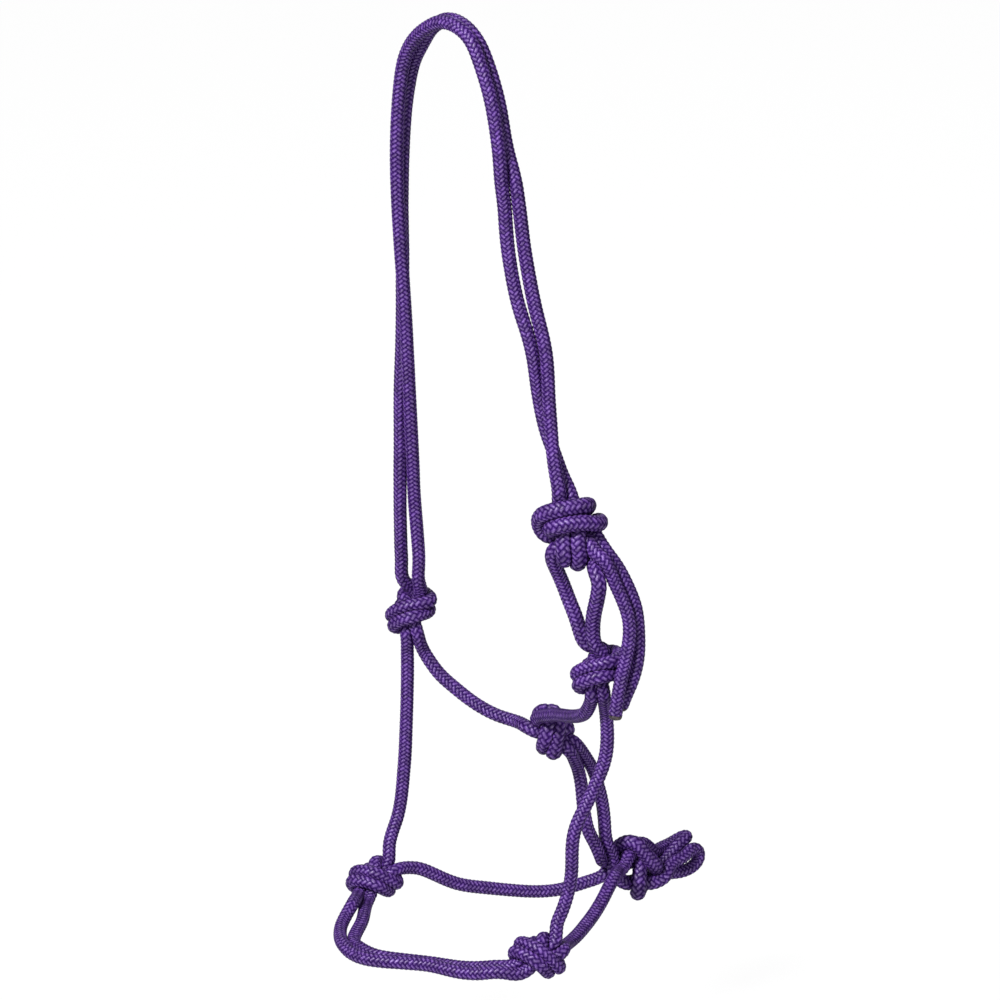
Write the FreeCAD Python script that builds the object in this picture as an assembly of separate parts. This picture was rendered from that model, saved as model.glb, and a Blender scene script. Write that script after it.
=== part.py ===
import FreeCAD, Part
import math
import os

# Rope halter, hand-tied from one length of braided cord.  Millimetres, +Z up.
# Origin: middle of the muzzle opening at the level of the two nose knots.
# The nose points to -Y, the horse's left (near, tied) side is +X, the
# fiador knot and the lead loops lie to +Y.
#
# One cord runs through the whole halter.  It is divided where a maker would
# name the parts: knots, and the straight runs between knots.  Every piece has
# a braided sheath and an inner core, except the solid sealed tail ends.

ROPE_DIAMETER = 8.0        # braided cord, relaxed
TABLE_DIAMETER = 8.0       # cord diameter the squeezed radii in the tables belong to
CORE_RATIO = 0.62          # core diameter / sheath outside diameter
CORE_CLEARANCE = 0.10      # radial gap between core and sheath bore
HINGE_CORE_REACH = 2.6     # core length carried into a rounded (ball) end
SEALED_END_DOME = 0.55     # height of the melted dome / its radius
STATIONS_PER_PATCH = 24    # ring spacings covered by one surface patch
MIN_LAST_PATCH = 3         # a shorter remainder joins the patch before it
SEWING_TOLERANCE = 1e-4

RELAXED_RADIUS = ROPE_DIAMETER / 2
RADIUS_SCALE = ROPE_DIAMETER / TABLE_DIAMETER

# Centre lines of the pieces, as a list of cord runs for each piece.
# Each run: start end, finish end, start tangent, finish tangent, stations.
# Ends are "flat", "ball" (rounded rim round the bore) or "dome" (sealed).
# Stations are separated by commas, each "x y z radius".  The radius drops
# inside the knots, where the cord is squeezed against its neighbours; a
# station without a radius has relaxed cord.
RUNS = {}

# Eye of the crown, on the near side: up from the cheek knot and back down.
RUNS["crown_eye_loop"] = [
    ("ball", "ball", (-0.1298, -0.2944, 0.9468), (0.3492, 0.1495, -0.9250), """
87.66 32.08 193.70, 87.45 31.58 195.81, 87.39 31.22 198.39, 87.59 30.87 201.68,
88.15 30.48 205.50, 89.07 30.05 209.43, 90.37 29.61 213.42, 92.26 29.08 218.30,
94.89 28.45 225.76, 95.73 28.26 229.40, 95.86 28.19 231.70, 95.57 28.17 233.55,
94.95 28.22 235.12 3.99, 94.04 28.38 236.47 3.97, 92.88 28.72 237.62 3.96, 91.49 29.31 238.61 3.95,
89.80 30.25 239.57 3.92, 87.45 31.71 240.86 3.87, 85.46 32.72 242.20 3.86, 83.86 33.16 243.43 3.84,
82.39 33.20 244.58 3.80, 81.05 32.88 245.62 3.74, 79.82 32.22 246.50 3.68, 78.69 31.22 247.23 3.65,
77.59 29.84 247.84 3.62, 76.35 27.89 248.57 3.62, 74.83 25.60 249.65 3.61, 73.42 23.88 250.41 3.61,
72.25 22.58 250.60 3.62, 71.16 21.41 250.39 3.64, 70.11 20.36 249.83 3.66, 69.09 19.46 248.96 3.67,
68.13 18.81 247.84 3.68, 67.29 18.45 246.54 3.68, 66.57 18.39 245.08 3.68, 65.98 18.65 243.48 3.68,
65.47 19.26 241.66 3.71, 64.96 20.32 239.41 3.83, 64.23 22.19 236.02, 63.38 25.13 230.97,
63.21 26.88 227.70, 63.38 28.13 224.90, 63.81 29.10 222.12, 64.54 29.91 219.12,
65.63 30.60 215.81, 67.11 31.18 212.29, 69.06 31.68 208.39, 71.94 32.27 202.45,
73.35 32.65 198.59, 75.09 33.26 193.24"""),
]

# The two strands over the crown, between the tie knot and the far cheek knot.
RUNS["crown_strand_front"] = [
    ("flat", "ball", (-0.3752, 0.0102, 0.9269), (-0.2593, 0.3598, -0.8963), """
72.64 27.22 278.96 3.70, 71.43 27.09 281.60 3.82, 69.98 26.66 284.29 3.93, 67.63 25.85 288.67 3.99,
65.74 25.18 292.90, 63.78 24.31 298.05, 61.25 22.91 305.45, 59.16 21.37 312.45,
57.98 20.21 317.73, 57.17 19.19 322.91, 56.46 18.03 329.39, 55.83 16.48 338.22,
55.74 15.30 344.80, 55.88 13.71 353.65, 55.72 12.20 362.50, 55.20 11.40 367.40,
54.35 10.68 371.99, 53.08 9.92 376.96, 51.28 9.00 382.76, 48.68 7.72 391.26,
47.28 6.93 397.14, 45.99 6.12 403.91, 44.63 5.19 412.73, 43.61 4.32 421.61,
43.04 3.56 429.83, 42.86 2.91 437.56, 42.88 2.16 446.51, 42.81 1.08 455.43,
42.81 -0.11 462.47, 43.10 -1.23 469.62, 43.32 -1.96 476.36, 43.22 -2.50 482.67,
42.78 -3.20 489.97, 41.99 -4.12 498.88, 40.92 -4.93 506.76, 39.69 -5.58 513.02,
38.23 -6.15 518.52, 36.32 -6.77 524.33, 33.87 -7.44 530.69, 30.70 -8.16 537.94,
28.61 -8.51 541.79, 26.86 -8.75 544.17, 25.00 -8.96 546.07, 22.90 -9.16 547.70,
20.50 -9.36 549.11, 17.78 -9.58 550.30, 14.83 -9.78 551.21, 11.75 -9.92 551.79,
8.53 -10.00 552.04, 5.28 -10.03 551.94, 2.15 -10.03 551.49, -0.94 -9.97 550.68,
-4.19 -9.85 549.47, -7.91 -9.67 547.72, -12.40 -9.40 545.24, -17.26 -9.07 542.17,
-21.40 -8.74 539.11, -25.00 -8.37 536.01, -28.14 -8.00 532.82, -30.86 -7.65 529.54,
-33.23 -7.32 526.13, -35.33 -6.95 522.46, -37.30 -6.52 518.33, -39.24 -5.99 513.48,
-41.34 -5.29 507.32, -43.80 -4.35 499.11, -46.09 -3.36 490.48, -48.03 -2.37 481.87,
-49.73 -1.37 473.10, -51.24 -0.36 464.30, -52.58 0.68 455.48, -53.71 1.73 446.63,
-54.70 2.81 437.76, -55.53 3.86 428.88, -56.18 4.93 419.98, -56.73 6.00 411.07,
-57.28 7.09 402.17, -57.90 8.23 393.28, -58.54 9.42 384.40, -59.19 10.63 375.52,
-59.86 11.83 366.64, -60.64 13.03 357.76, -61.56 14.23 348.91, -62.52 15.46 340.06,
-63.52 16.75 331.22, -64.60 18.09 322.40, -65.74 19.45 313.59, -66.85 20.77 304.77,
-67.89 22.01 295.94, -68.87 23.22 287.09, -69.87 24.46 278.24, -70.96 25.79 269.42,
-72.27 27.28 260.66, -73.73 28.78 251.92, -74.99 30.17 243.13, -75.49 30.97 237.12,
-75.59 31.49 231.88, -75.40 31.92 225.87, -75.01 32.45 216.91, -74.67 32.96 207.94,
-74.66 33.36 200.02, -75.00 33.47 194.63, -75.59 33.62 189.82, -76.07 34.00 187.25,
-76.62 34.68 185.07"""),
]
RUNS["crown_strand_rear"] = [
    ("ball", "flat", (-0.0296, -0.4324, 0.9012), (-0.1917, 0.2256, -0.9552), """
-88.48 32.18 183.28, -88.49 31.50 185.11, -88.40 31.06 187.22, -88.20 30.79 189.96,
-87.75 30.45 194.52, -87.09 29.77 199.88, -86.03 28.68 206.88, -84.58 27.34 215.65,
-83.12 26.00 224.42, -81.71 24.78 233.21, -80.82 24.10 240.24, -80.16 23.66 247.39,
-79.54 23.25 256.35, -78.85 22.90 265.31, -78.04 22.41 274.25, -77.20 21.77 283.18,
-76.34 21.08 292.11, -75.42 20.42 301.03, -74.38 19.82 309.94, -73.22 19.29 318.84,
-72.00 18.75 327.73, -70.79 18.16 336.62, -69.63 17.50 345.51, -68.49 16.80 354.40,
-67.42 16.10 363.31, -66.42 15.40 372.21, -65.44 14.70 381.12, -64.40 14.00 390.03,
-63.38 13.25 398.93, -62.50 12.44 407.84, -61.69 11.60 416.76, -60.81 10.77 425.67,
-59.72 9.95 434.55, -58.43 9.09 443.41, -57.00 8.25 452.25, -55.40 7.41 461.06,
-53.64 6.54 469.83, -51.74 5.66 478.58, -49.60 4.79 487.27, -47.29 4.00 495.14,
-44.59 3.21 503.05, -41.65 2.46 510.53, -38.99 1.88 516.20, -36.62 1.44 520.36,
-34.20 1.05 523.83, -31.20 0.61 527.54, -25.49 -0.11 534.44, -19.53 -0.76 541.14,
-16.65 -1.02 543.59, -13.40 -1.28 545.90, -9.83 -1.50 548.01, -6.45 -1.67 549.58,
-3.39 -1.77 550.60, -0.44 -1.84 551.18, 2.55 -1.88 551.41, 5.68 -1.92 551.30,
8.87 -1.94 550.83, 11.98 -1.92 550.01, 14.98 -1.88 548.85, 17.82 -1.82 547.36,
20.42 -1.71 545.61, 22.66 -1.54 543.67, 24.55 -1.32 541.55, 26.21 -1.04 539.14,
27.89 -0.67 536.13, 29.94 -0.17 531.78, 32.38 0.48 525.86, 34.56 1.15 519.64,
36.45 1.85 513.16, 37.71 2.47 507.53, 38.58 3.09 501.94, 39.48 3.94 494.30,
40.61 5.00 485.45, 41.72 5.74 479.71, 43.12 6.39 474.40, 44.92 6.91 468.48,
46.60 7.18 462.37, 47.60 7.38 457.35, 48.22 7.71 452.51, 48.62 8.28 447.26,
48.81 9.11 440.78, 48.95 10.28 431.86, 49.38 11.21 424.39, 50.18 12.11 416.72,
51.36 13.11 407.86, 52.86 13.98 399.23, 54.39 14.54 392.56, 56.01 14.90 387.16,
58.50 15.32 379.87, 61.21 15.82 371.31, 62.20 16.05 366.75, 62.90 16.28 361.89,
63.39 16.52 356.08, 63.63 16.76 349.21, 63.85 17.03 340.23, 64.34 17.32 331.96,
65.14 17.60 323.01, 66.05 17.59 315.09, 67.31 17.57 306.19, 68.68 17.84 298.34,
70.44 18.29 289.54 3.99, 71.45 18.74 283.69 3.93, 71.36 19.09 281.36 3.81, 70.91 19.66 278.73 3.70"""),
]

# Knot of the two crown strands round the eye loop.
RUNS["crown_tie_knot"] = [
    ("flat", "flat", (-0.6684, -0.2102, 0.7135), (-0.3746, 0.0109, 0.9271), """
86.87 38.49 249.94 3.62, 85.11 38.04 251.77 3.57, 83.30 37.77 253.61 3.53, 81.53 37.58 255.48 3.50,
79.84 37.18 257.39 3.47, 78.43 36.47 259.04 3.46, 77.25 35.50 260.38 3.46, 76.17 34.33 261.37 3.46,
75.16 33.00 262.01 3.47, 74.14 31.53 262.32 3.47, 73.03 29.85 262.31 3.48, 71.63 27.81 261.99 3.49,
70.14 25.75 261.53 3.48, 68.76 23.61 261.08 3.45, 67.90 21.67 260.81 3.44, 67.56 19.98 260.75 3.44,
67.56 18.40 260.86 3.45, 67.90 16.91 261.14 3.46, 68.52 15.55 261.57 3.47, 69.40 14.40 262.13 3.47,
70.51 13.50 262.77 3.46, 71.80 12.91 263.45 3.46, 73.22 12.65 264.14 3.45, 74.73 12.73 264.81 3.46,
76.30 13.16 265.45 3.47, 77.89 13.95 266.07 3.52, 79.47 15.11 266.65 3.64, 81.03 16.66 267.17 3.84,
82.58 18.61 267.59 3.97, 84.00 20.76 267.82 3.95, 85.28 23.00 267.83 3.93, 86.35 25.35 267.62 3.96,
87.06 27.60 267.24 3.99, 87.39 29.70 266.74, 87.35 31.73 266.14, 86.97 33.70 265.48,
86.24 35.60 264.84 3.97, 85.20 37.38 264.31 3.82, 83.87 39.03 263.94 3.61, 82.28 40.48 263.69 3.50,
80.60 41.59 263.41 3.48, 79.01 42.28 263.00 3.48, 77.52 42.63 262.40 3.48, 76.12 42.66 261.61 3.48,
74.83 42.40 260.61 3.49, 73.65 41.86 259.42 3.50, 72.62 41.05 258.04 3.56, 71.81 40.01 256.49 3.67,
71.28 38.78 254.81 3.76, 71.07 37.43 252.93 3.74, 71.11 36.06 250.74 3.67, 71.24 34.92 248.42 3.61,
71.46 33.91 246.06 3.59, 71.89 32.97 244.17 3.59, 72.52 32.08 242.83 3.57, 73.37 31.13 241.82 3.56,
74.41 30.13 241.12 3.56, 75.62 29.10 240.73 3.56, 76.92 28.10 240.67 3.58, 78.25 27.20 240.96 3.61,
79.54 26.41 241.57 3.64, 80.70 25.77 242.49 3.65, 81.69 25.26 243.69 3.65, 82.42 24.84 245.13 3.66,
82.86 24.47 246.81 3.65, 82.98 24.07 248.78 3.59, 82.79 23.64 251.14 3.52, 82.42 23.43 253.51 3.49,
82.00 23.60 255.59 3.49, 81.41 24.15 257.73 3.50, 80.58 24.95 260.04 3.56, 79.63 25.62 262.35 3.58,
78.61 26.02 264.69 3.53, 77.53 26.23 267.03 3.55, 76.42 26.38 269.36 3.58, 75.34 26.57 271.70 3.53,
74.39 26.82 274.09 3.51, 73.54 27.08 276.52 3.58, 72.65 27.22 278.94 3.70"""),
    ("flat", "flat", (-0.1916, 0.2257, -0.9552), (0.7918, 0.1171, -0.5995), """
70.90 19.66 278.71 3.70, 70.50 20.22 276.22 3.64, 70.49 20.58 273.93 3.60, 70.82 20.69 271.93 3.60,
71.46 20.59 269.86 3.60, 72.41 20.27 267.48 3.56, 73.39 19.88 265.12 3.46, 74.27 19.46 262.72 3.44,
75.04 19.00 260.30 3.52, 75.81 18.48 257.89 3.73, 76.60 17.93 255.49 3.76, 77.29 17.50 253.04 3.69,
77.60 17.41 250.96 3.66, 77.58 17.59 249.21 3.65, 77.27 18.00 247.64 3.65, 76.72 18.62 246.24 3.64,
75.95 19.42 245.04 3.64, 74.99 20.38 244.10 3.63, 73.92 21.44 243.48 3.61, 72.78 22.54 243.20 3.58,
71.62 23.62 243.29 3.56, 70.46 24.68 243.75 3.56, 69.27 25.76 244.61 3.57, 67.95 27.07 245.93 3.58,
66.59 28.66 247.44 3.53, 65.41 30.38 248.97 3.47, 64.75 31.63 250.38 3.46, 64.44 32.55 251.86 3.46,
64.41 33.34 253.58 3.47, 64.66 34.19 255.72 3.55, 65.16 35.24 258.02 3.74, 65.81 36.44 260.22 3.84,
66.65 37.65 262.34 3.90, 67.74 38.71 264.43 3.97, 68.92 39.37 266.25, 70.17 39.66 267.83,
71.49 39.60 269.23, 72.88 39.21 270.50, 74.33 38.49 271.65, 75.80 37.43 272.68,
77.28 36.01 273.59 3.99, 78.68 34.26 274.38 3.87, 79.89 32.27 275.03 3.66, 80.73 30.26 275.52 3.55,
81.17 28.34 275.87 3.51, 81.23 26.44 276.11 3.51, 80.94 24.48 276.25 3.53, 80.27 22.38 276.28 3.62,
79.21 20.02 276.17 3.76, 77.95 17.78 275.92 3.72, 76.50 15.68 275.50 3.70, 74.90 13.85 274.91 3.75,
73.28 12.46 274.23 3.89, 71.61 11.45 273.44 3.98, 69.88 10.78 272.54, 68.09 10.43 271.49,
66.33 10.39 270.27, 64.73 10.60 268.87, 63.40 11.01 267.34 3.99, 62.36 11.57 265.66 3.91,
61.64 12.27 263.87 3.78, 61.24 13.07 262.00 3.66, 61.18 13.96 260.15 3.59, 61.43 14.96 258.43 3.56,
61.88 16.08 257.00 3.56, 62.43 17.34 255.90 3.56, 63.01 18.78 255.13 3.56, 63.65 20.45 254.67 3.55,
64.42 22.35 254.51 3.53, 65.47 24.26 254.54 3.51, 66.86 26.04 254.65 3.48, 68.63 27.75 254.82 3.46,
70.48 29.11 255.00 3.47, 72.22 29.97 255.17 3.47, 74.05 30.44 255.32 3.47, 76.09 30.59 255.40 3.46,
78.23 30.56 255.23 3.46, 80.24 30.52 254.73 3.47, 82.20 30.53 253.85 3.49, 84.34 30.63 252.46 3.52,
86.39 30.85 250.91 3.58"""),
]

# Far side (-X): cheek, chin, nose and throat.
RUNS["far_cheek_knot"] = [
    ("flat", "flat", (-0.2954, 0.4423, -0.8468), (-0.0885, 0.1375, -0.9865), """
-78.06 36.90 180.84 3.97, -78.78 37.83 178.54 3.76, -79.24 38.16 176.61 3.45,
-79.61 38.18 174.48 3.21, -79.94 38.02 171.93 3.13, -80.23 37.88 169.37 3.15,
-80.56 37.82 166.81 3.15, -81.02 37.77 164.27 3.14, -81.68 37.61 161.78 3.16,
-82.60 37.25 159.44 3.20, -83.71 36.73 157.47 3.21, -84.94 36.03 155.84 3.16,
-86.11 35.16 154.61 3.13, -87.14 34.12 153.76 3.12, -87.98 32.91 153.23 3.12,
-88.61 31.55 152.98 3.12, -89.01 30.11 152.98 3.12, -89.14 28.63 153.22 3.12,
-89.00 27.21 153.67 3.12, -88.58 25.91 154.30 3.13, -87.92 24.81 155.07 3.13,
-87.02 23.97 155.95 3.14, -85.92 23.42 156.91 3.15, -84.62 23.17 157.94 3.16,
-83.09 23.23 159.05 3.21, -81.26 23.61 160.28 3.31, -79.17 24.35 161.59 3.27,
-77.30 25.32 162.69 3.19, -75.93 26.40 163.44 3.17, -74.93 27.63 163.94 3.17,
-74.22 29.05 164.27 3.17, -73.76 30.70 164.43 3.18, -73.56 32.65 164.48 3.19,
-73.62 34.99 164.43 3.20, -74.00 37.50 164.34 3.19, -74.65 39.59 164.28 3.16,
-75.53 41.24 164.25 3.14, -76.66 42.55 164.27 3.14, -78.08 43.62 164.32 3.16,
-79.84 44.50 164.42 3.22, -82.03 45.21 164.57 3.32, -84.53 45.70 164.77 3.25,
-86.78 45.80 164.99 3.17, -88.64 45.55 165.20 3.15, -90.18 44.99 165.38 3.14,
-91.47 44.15 165.53 3.14, -92.50 43.05 165.65 3.13, -93.24 41.72 165.71 3.12,
-93.68 40.24 165.71 3.11, -93.78 38.69 165.64 3.11, -93.54 37.13 165.49 3.10,
-92.97 35.65 165.22 3.10, -92.11 34.30 164.80 3.10, -91.00 33.13 164.17 3.10,
-89.71 32.13 163.25 3.10, -88.27 31.27 161.96 3.11, -86.60 30.48 160.16 3.14,
-85.02 29.87 158.21 3.13, -83.54 29.39 156.16 3.12, -82.36 29.10 154.09 3.18,
-81.67 29.00 152.26 3.27, -81.35 29.05 150.41 3.35, -81.37 29.26 148.41 3.45"""),
    ("flat", "flat", (0.0796, -0.3282, 0.9413), (-0.1817, -0.7198, 0.6700), """
-75.51 33.29 149.65 3.45, -75.51 32.70 151.68 3.38, -75.84 32.31 153.64 3.31,
-76.52 32.02 155.73 3.26, -77.56 31.74 158.05 3.21, -78.81 31.48 160.28 3.18,
-80.21 31.32 162.42 3.16, -81.75 31.38 164.47 3.16, -83.44 31.69 166.37 3.16,
-85.29 32.16 168.09 3.19, -87.25 32.77 169.53 3.18, -88.97 33.53 170.51 3.13,
-90.38 34.46 171.15 3.11, -91.46 35.58 171.59 3.10, -92.23 36.86 171.89 3.10,
-92.67 38.26 172.09 3.11, -92.77 39.72 172.23 3.11, -92.53 41.18 172.31 3.12,
-91.95 42.55 172.36 3.13, -91.07 43.75 172.37 3.13, -89.91 44.73 172.36 3.14,
-88.52 45.44 172.31 3.15, -86.89 45.86 172.21 3.16, -85.02 45.98 172.07 3.21,
-82.84 45.78 171.88 3.32, -80.41 45.23 171.64 3.30, -78.21 44.41 171.41 3.19,
-76.53 43.44 171.24 3.15, -75.28 42.33 171.13 3.15, -74.39 41.08 171.06 3.14,
-73.84 39.68 171.01 3.14, -73.64 38.15 170.99 3.13, -73.80 36.50 170.97 3.14,
-74.34 34.71 170.91 3.16, -75.30 32.73 170.76 3.19, -76.67 30.58 170.44 3.22,
-78.22 28.60 169.94 3.21, -79.71 27.13 169.32 3.17, -81.19 26.05 168.58 3.16,
-82.78 25.30 167.67 3.17, -84.57 24.82 166.51 3.25, -86.60 24.60 165.09 3.30,
-88.54 24.68 163.60 3.21, -90.03 25.02 162.33 3.16, -91.20 25.60 161.24 3.15,
-92.10 26.43 160.27 3.14, -92.75 27.49 159.42 3.14, -93.15 28.75 158.71 3.13,
-93.29 30.17 158.18 3.12, -93.15 31.67 157.87 3.11, -92.77 33.17 157.80 3.11,
-92.17 34.59 157.99 3.10, -91.40 35.88 158.45 3.10, -90.51 36.98 159.20 3.10,
-89.59 37.87 160.24 3.10, -88.70 38.54 161.59 3.10, -87.91 39.00 163.31 3.10,
-87.24 39.32 165.53 3.12, -86.77 39.48 168.05 3.13, -86.49 39.48 170.60 3.11,
-86.45 39.28 172.69 3.10, -86.62 38.86 174.48 3.13, -86.95 38.17 176.09 3.22,
-87.41 37.02 177.68 3.41, -87.95 35.25 179.41 3.76"""),
]
RUNS["far_cheek_piece"] = [
    ("flat", "flat", (-0.0899, 0.1380, -0.9863), (0.2682, -0.2295, -0.9356), """
-81.37 29.26 148.39 3.46, -81.70 29.62 146.24 3.58, -82.38 30.19 143.20 3.80,
-83.04 30.74 139.33 3.99, -83.20 30.89 136.46, -83.12 30.84 133.30, -82.80 30.58 128.54,
-82.31 30.03 119.79, -81.85 29.40 111.04, -81.40 28.68 102.30, -80.94 27.87 93.56,
-80.48 27.05 84.83, -80.03 26.17 76.10, -79.57 25.05 67.41, -79.12 23.70 58.74,
-78.67 22.27 50.09, -78.38 21.09 44.59, -78.13 19.71 39.76, -77.89 18.07 35.22,
-77.68 16.19 30.99, -77.46 13.62 26.22, -77.23 12.10 23.44, -76.84 10.97 20.98,
-76.03 9.92 17.84, -75.01 9.10 14.50 3.98"""),
]
RUNS["far_chin_strand"] = [
    ("flat", "flat", (0.1121, 0.9911, -0.0718), (0.2408, 0.3640, 0.8997), """
-67.31 12.76 5.82 3.59, -66.89 15.23 5.58 3.88, -66.10 17.69 5.29 3.99, -64.96 20.23 4.87,
-63.65 22.82 4.14, -62.34 25.34 3.05, -60.91 28.11 1.50, -59.06 31.74 -0.83,
-55.51 38.69 -5.26, -53.03 43.57 -7.88, -51.17 47.20 -9.38, -49.32 50.83 -10.50,
-46.90 55.58 -11.65, -42.90 63.41 -13.48, -38.90 71.25 -15.24, -34.89 79.12 -16.86,
-30.85 87.02 -18.18, -28.10 92.42 -18.66, -25.50 97.52 -18.75, -23.20 102.03 -18.46,
-21.06 106.20 -17.82, -18.67 110.98 -16.77, -15.62 117.43 -15.18, -14.01 120.16 -14.31,
-12.53 121.98 -13.46, -10.97 123.64 -12.36 3.99, -9.99 124.99 -11.34 3.90,
-9.57 126.20 -10.47 3.69, -9.57 127.41 -9.66 3.44, -9.97 128.66 -8.87 3.25,
-10.72 129.98 -7.97 3.16, -11.54 131.24 -6.84 3.13, -12.02 132.24 -5.61 3.13,
-12.12 133.04 -4.30 3.13, -11.89 133.70 -2.87 3.13"""),
]
RUNS["far_nose_knot"] = [
    ("flat", "flat", (0.2678, -0.2298, -0.9357), (0.5668, -0.7932, -0.2226), """
-75.00 9.09 14.48 3.98, -74.42 8.43 12.06 3.76, -74.19 7.62 9.76 3.39, -74.33 6.73 7.75 3.19,
-74.79 5.70 5.78 3.12, -75.59 4.44 3.70 3.12, -76.58 3.09 1.75 3.13, -77.72 1.65 -0.05 3.11,
-79.02 0.18 -1.52 3.10, -80.20 -1.08 -2.37 3.10, -81.33 -2.29 -2.76 3.10, -82.36 -3.51 -2.78 3.10,
-83.26 -4.75 -2.46 3.10, -83.96 -6.00 -1.85 3.11, -84.42 -7.22 -1.00 3.11, -84.58 -8.36 0.04 3.11,
-84.43 -9.37 1.18 3.12, -83.98 -10.21 2.37 3.13, -83.24 -10.84 3.52 3.14, -82.24 -11.25 4.60 3.14,
-80.98 -11.43 5.54 3.14, -79.47 -11.38 6.35 3.15, -77.68 -11.09 7.01 3.18, -75.55 -10.55 7.54 3.22,
-73.17 -9.74 7.87 3.21, -71.07 -8.80 7.92 3.18, -69.36 -7.78 7.69 3.17, -67.91 -6.60 7.21 3.18,
-66.59 -5.19 6.45 3.20, -65.30 -3.45 5.35 3.22, -64.16 -1.56 4.02 3.20, -63.35 0.28 2.62 3.18,
-63.02 1.83 1.46 3.16, -63.08 3.22 0.48 3.15, -63.47 4.52 -0.31 3.15, -64.16 5.73 -0.92 3.15,
-65.12 6.85 -1.30 3.15, -66.35 7.86 -1.44 3.15, -67.84 8.74 -1.32 3.15, -69.64 9.52 -0.92 3.18,
-71.83 10.20 -0.22 3.22, -74.18 10.66 0.72 3.21, -76.13 10.78 1.66 3.17, -77.65 10.60 2.56 3.15,
-78.88 10.14 3.47 3.14, -79.84 9.43 4.40 3.13, -80.53 8.47 5.34 3.12, -80.92 7.33 6.22 3.12,
-81.01 6.05 7.02 3.12, -80.79 4.73 7.65 3.12, -80.29 3.41 8.09 3.12, -79.51 2.13 8.27 3.12,
-78.51 0.93 8.17 3.12, -77.31 -0.22 7.72 3.13, -75.93 -1.37 6.88 3.16, -74.45 -2.60 5.56 3.19,
-73.05 -3.95 3.88 3.18, -71.89 -5.33 2.05 3.17, -70.91 -6.72 0.12 3.16, -70.06 -8.13 -1.85 3.15,
-69.29 -9.63 -3.80 3.19, -68.53 -11.28 -5.62 3.25, -67.76 -12.88 -7.04 3.29,
-66.97 -14.32 -7.97 3.34, -66.03 -15.75 -8.54 3.40"""),
    ("flat", "flat", (-0.4332, 0.8036, 0.4082), (0.1114, 0.9912, -0.0711), """
-73.88 -14.88 -3.93 3.22, -74.81 -13.10 -2.87 3.15, -75.83 -11.19 -1.48 3.13,
-76.90 -9.35 -0.03 3.13, -78.07 -7.52 1.36 3.13, -79.41 -5.68 2.56 3.11, -80.73 -3.98 3.30 3.10,
-81.84 -2.45 3.56 3.10, -82.72 -0.97 3.47 3.10, -83.32 0.49 3.09 3.10, -83.64 1.92 2.49 3.11,
-83.66 3.28 1.72 3.11, -83.36 4.52 0.83 3.12, -82.77 5.56 -0.11 3.13, -81.91 6.37 -1.05 3.14,
-80.81 6.91 -1.95 3.14, -79.47 7.18 -2.80 3.15, -77.89 7.16 -3.60 3.16, -76.00 6.86 -4.39 3.20,
-73.72 6.23 -5.16 3.22, -71.38 5.33 -5.77 3.19, -69.54 4.34 -6.05 3.16, -68.11 3.27 -6.02 3.15,
-66.95 2.07 -5.72 3.15, -66.00 0.71 -5.15 3.17, -65.19 -0.90 -4.29 3.20, -64.50 -2.81 -3.09 3.21,
-64.01 -4.88 -1.63 3.19, -63.91 -6.67 -0.31 3.17, -64.18 -8.11 0.74 3.16, -64.79 -9.38 1.58 3.15,
-65.73 -10.55 2.25 3.16, -67.02 -11.69 2.78 3.18, -68.74 -12.85 3.17 3.21, -70.93 -14.06 3.42 3.22,
-73.19 -15.07 3.42 3.17, -75.10 -15.71 3.14 3.14, -76.72 -16.05 2.64 3.13, -78.12 -16.12 1.92 3.13,
-79.33 -15.93 1.00 3.13, -80.31 -15.51 -0.06 3.13, -81.04 -14.87 -1.22 3.13,
-81.48 -14.03 -2.40 3.13, -81.60 -13.04 -3.52 3.14, -81.42 -11.95 -4.50 3.14,
-80.93 -10.77 -5.30 3.14, -80.17 -9.55 -5.87 3.14, -79.14 -8.27 -6.16 3.14,
-77.88 -6.90 -6.15 3.16, -76.41 -5.42 -5.81 3.20, -74.90 -3.86 -5.10 3.22, -73.52 -2.34 -4.08 3.19,
-72.26 -0.86 -2.69 3.16, -71.06 0.61 -0.94 3.15, -70.00 2.07 0.90 3.16, -69.08 3.67 2.70 3.15,
-68.41 5.27 4.07 3.15, -67.97 6.84 4.99 3.18, -67.69 8.53 5.59 3.25, -67.51 10.45 5.86 3.38,
-67.32 12.74 5.82 3.59"""),
]
RUNS["far_throatlatch"] = [
    ("flat", "flat", (-0.9479, 0.2988, -0.1101), (0.0810, -0.3290, 0.9409), """
-14.48 65.15 102.58, -17.37 66.07 102.21, -20.27 66.66 101.94, -22.40 66.68 101.87,
-24.36 66.33 101.93, -26.33 65.64 102.11, -28.48 64.57 102.45, -31.29 62.93 103.07,
-35.35 60.67 104.21, -39.65 58.46 105.70, -43.92 56.31 107.55, -47.81 54.33 109.63,
-51.95 52.24 112.21, -57.21 49.57 115.86, -62.60 46.84 119.98, -68.91 43.64 125.52,
-71.08 42.55 128.10, -73.49 41.40 131.39, -76.43 39.80 136.10, -77.10 39.00 138.05,
-77.34 38.16 139.88, -77.25 37.20 141.77 3.95, -76.81 36.02 143.93 3.80,
-75.99 34.43 146.95 3.58, -75.51 33.30 149.63 3.45"""),
]

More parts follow.
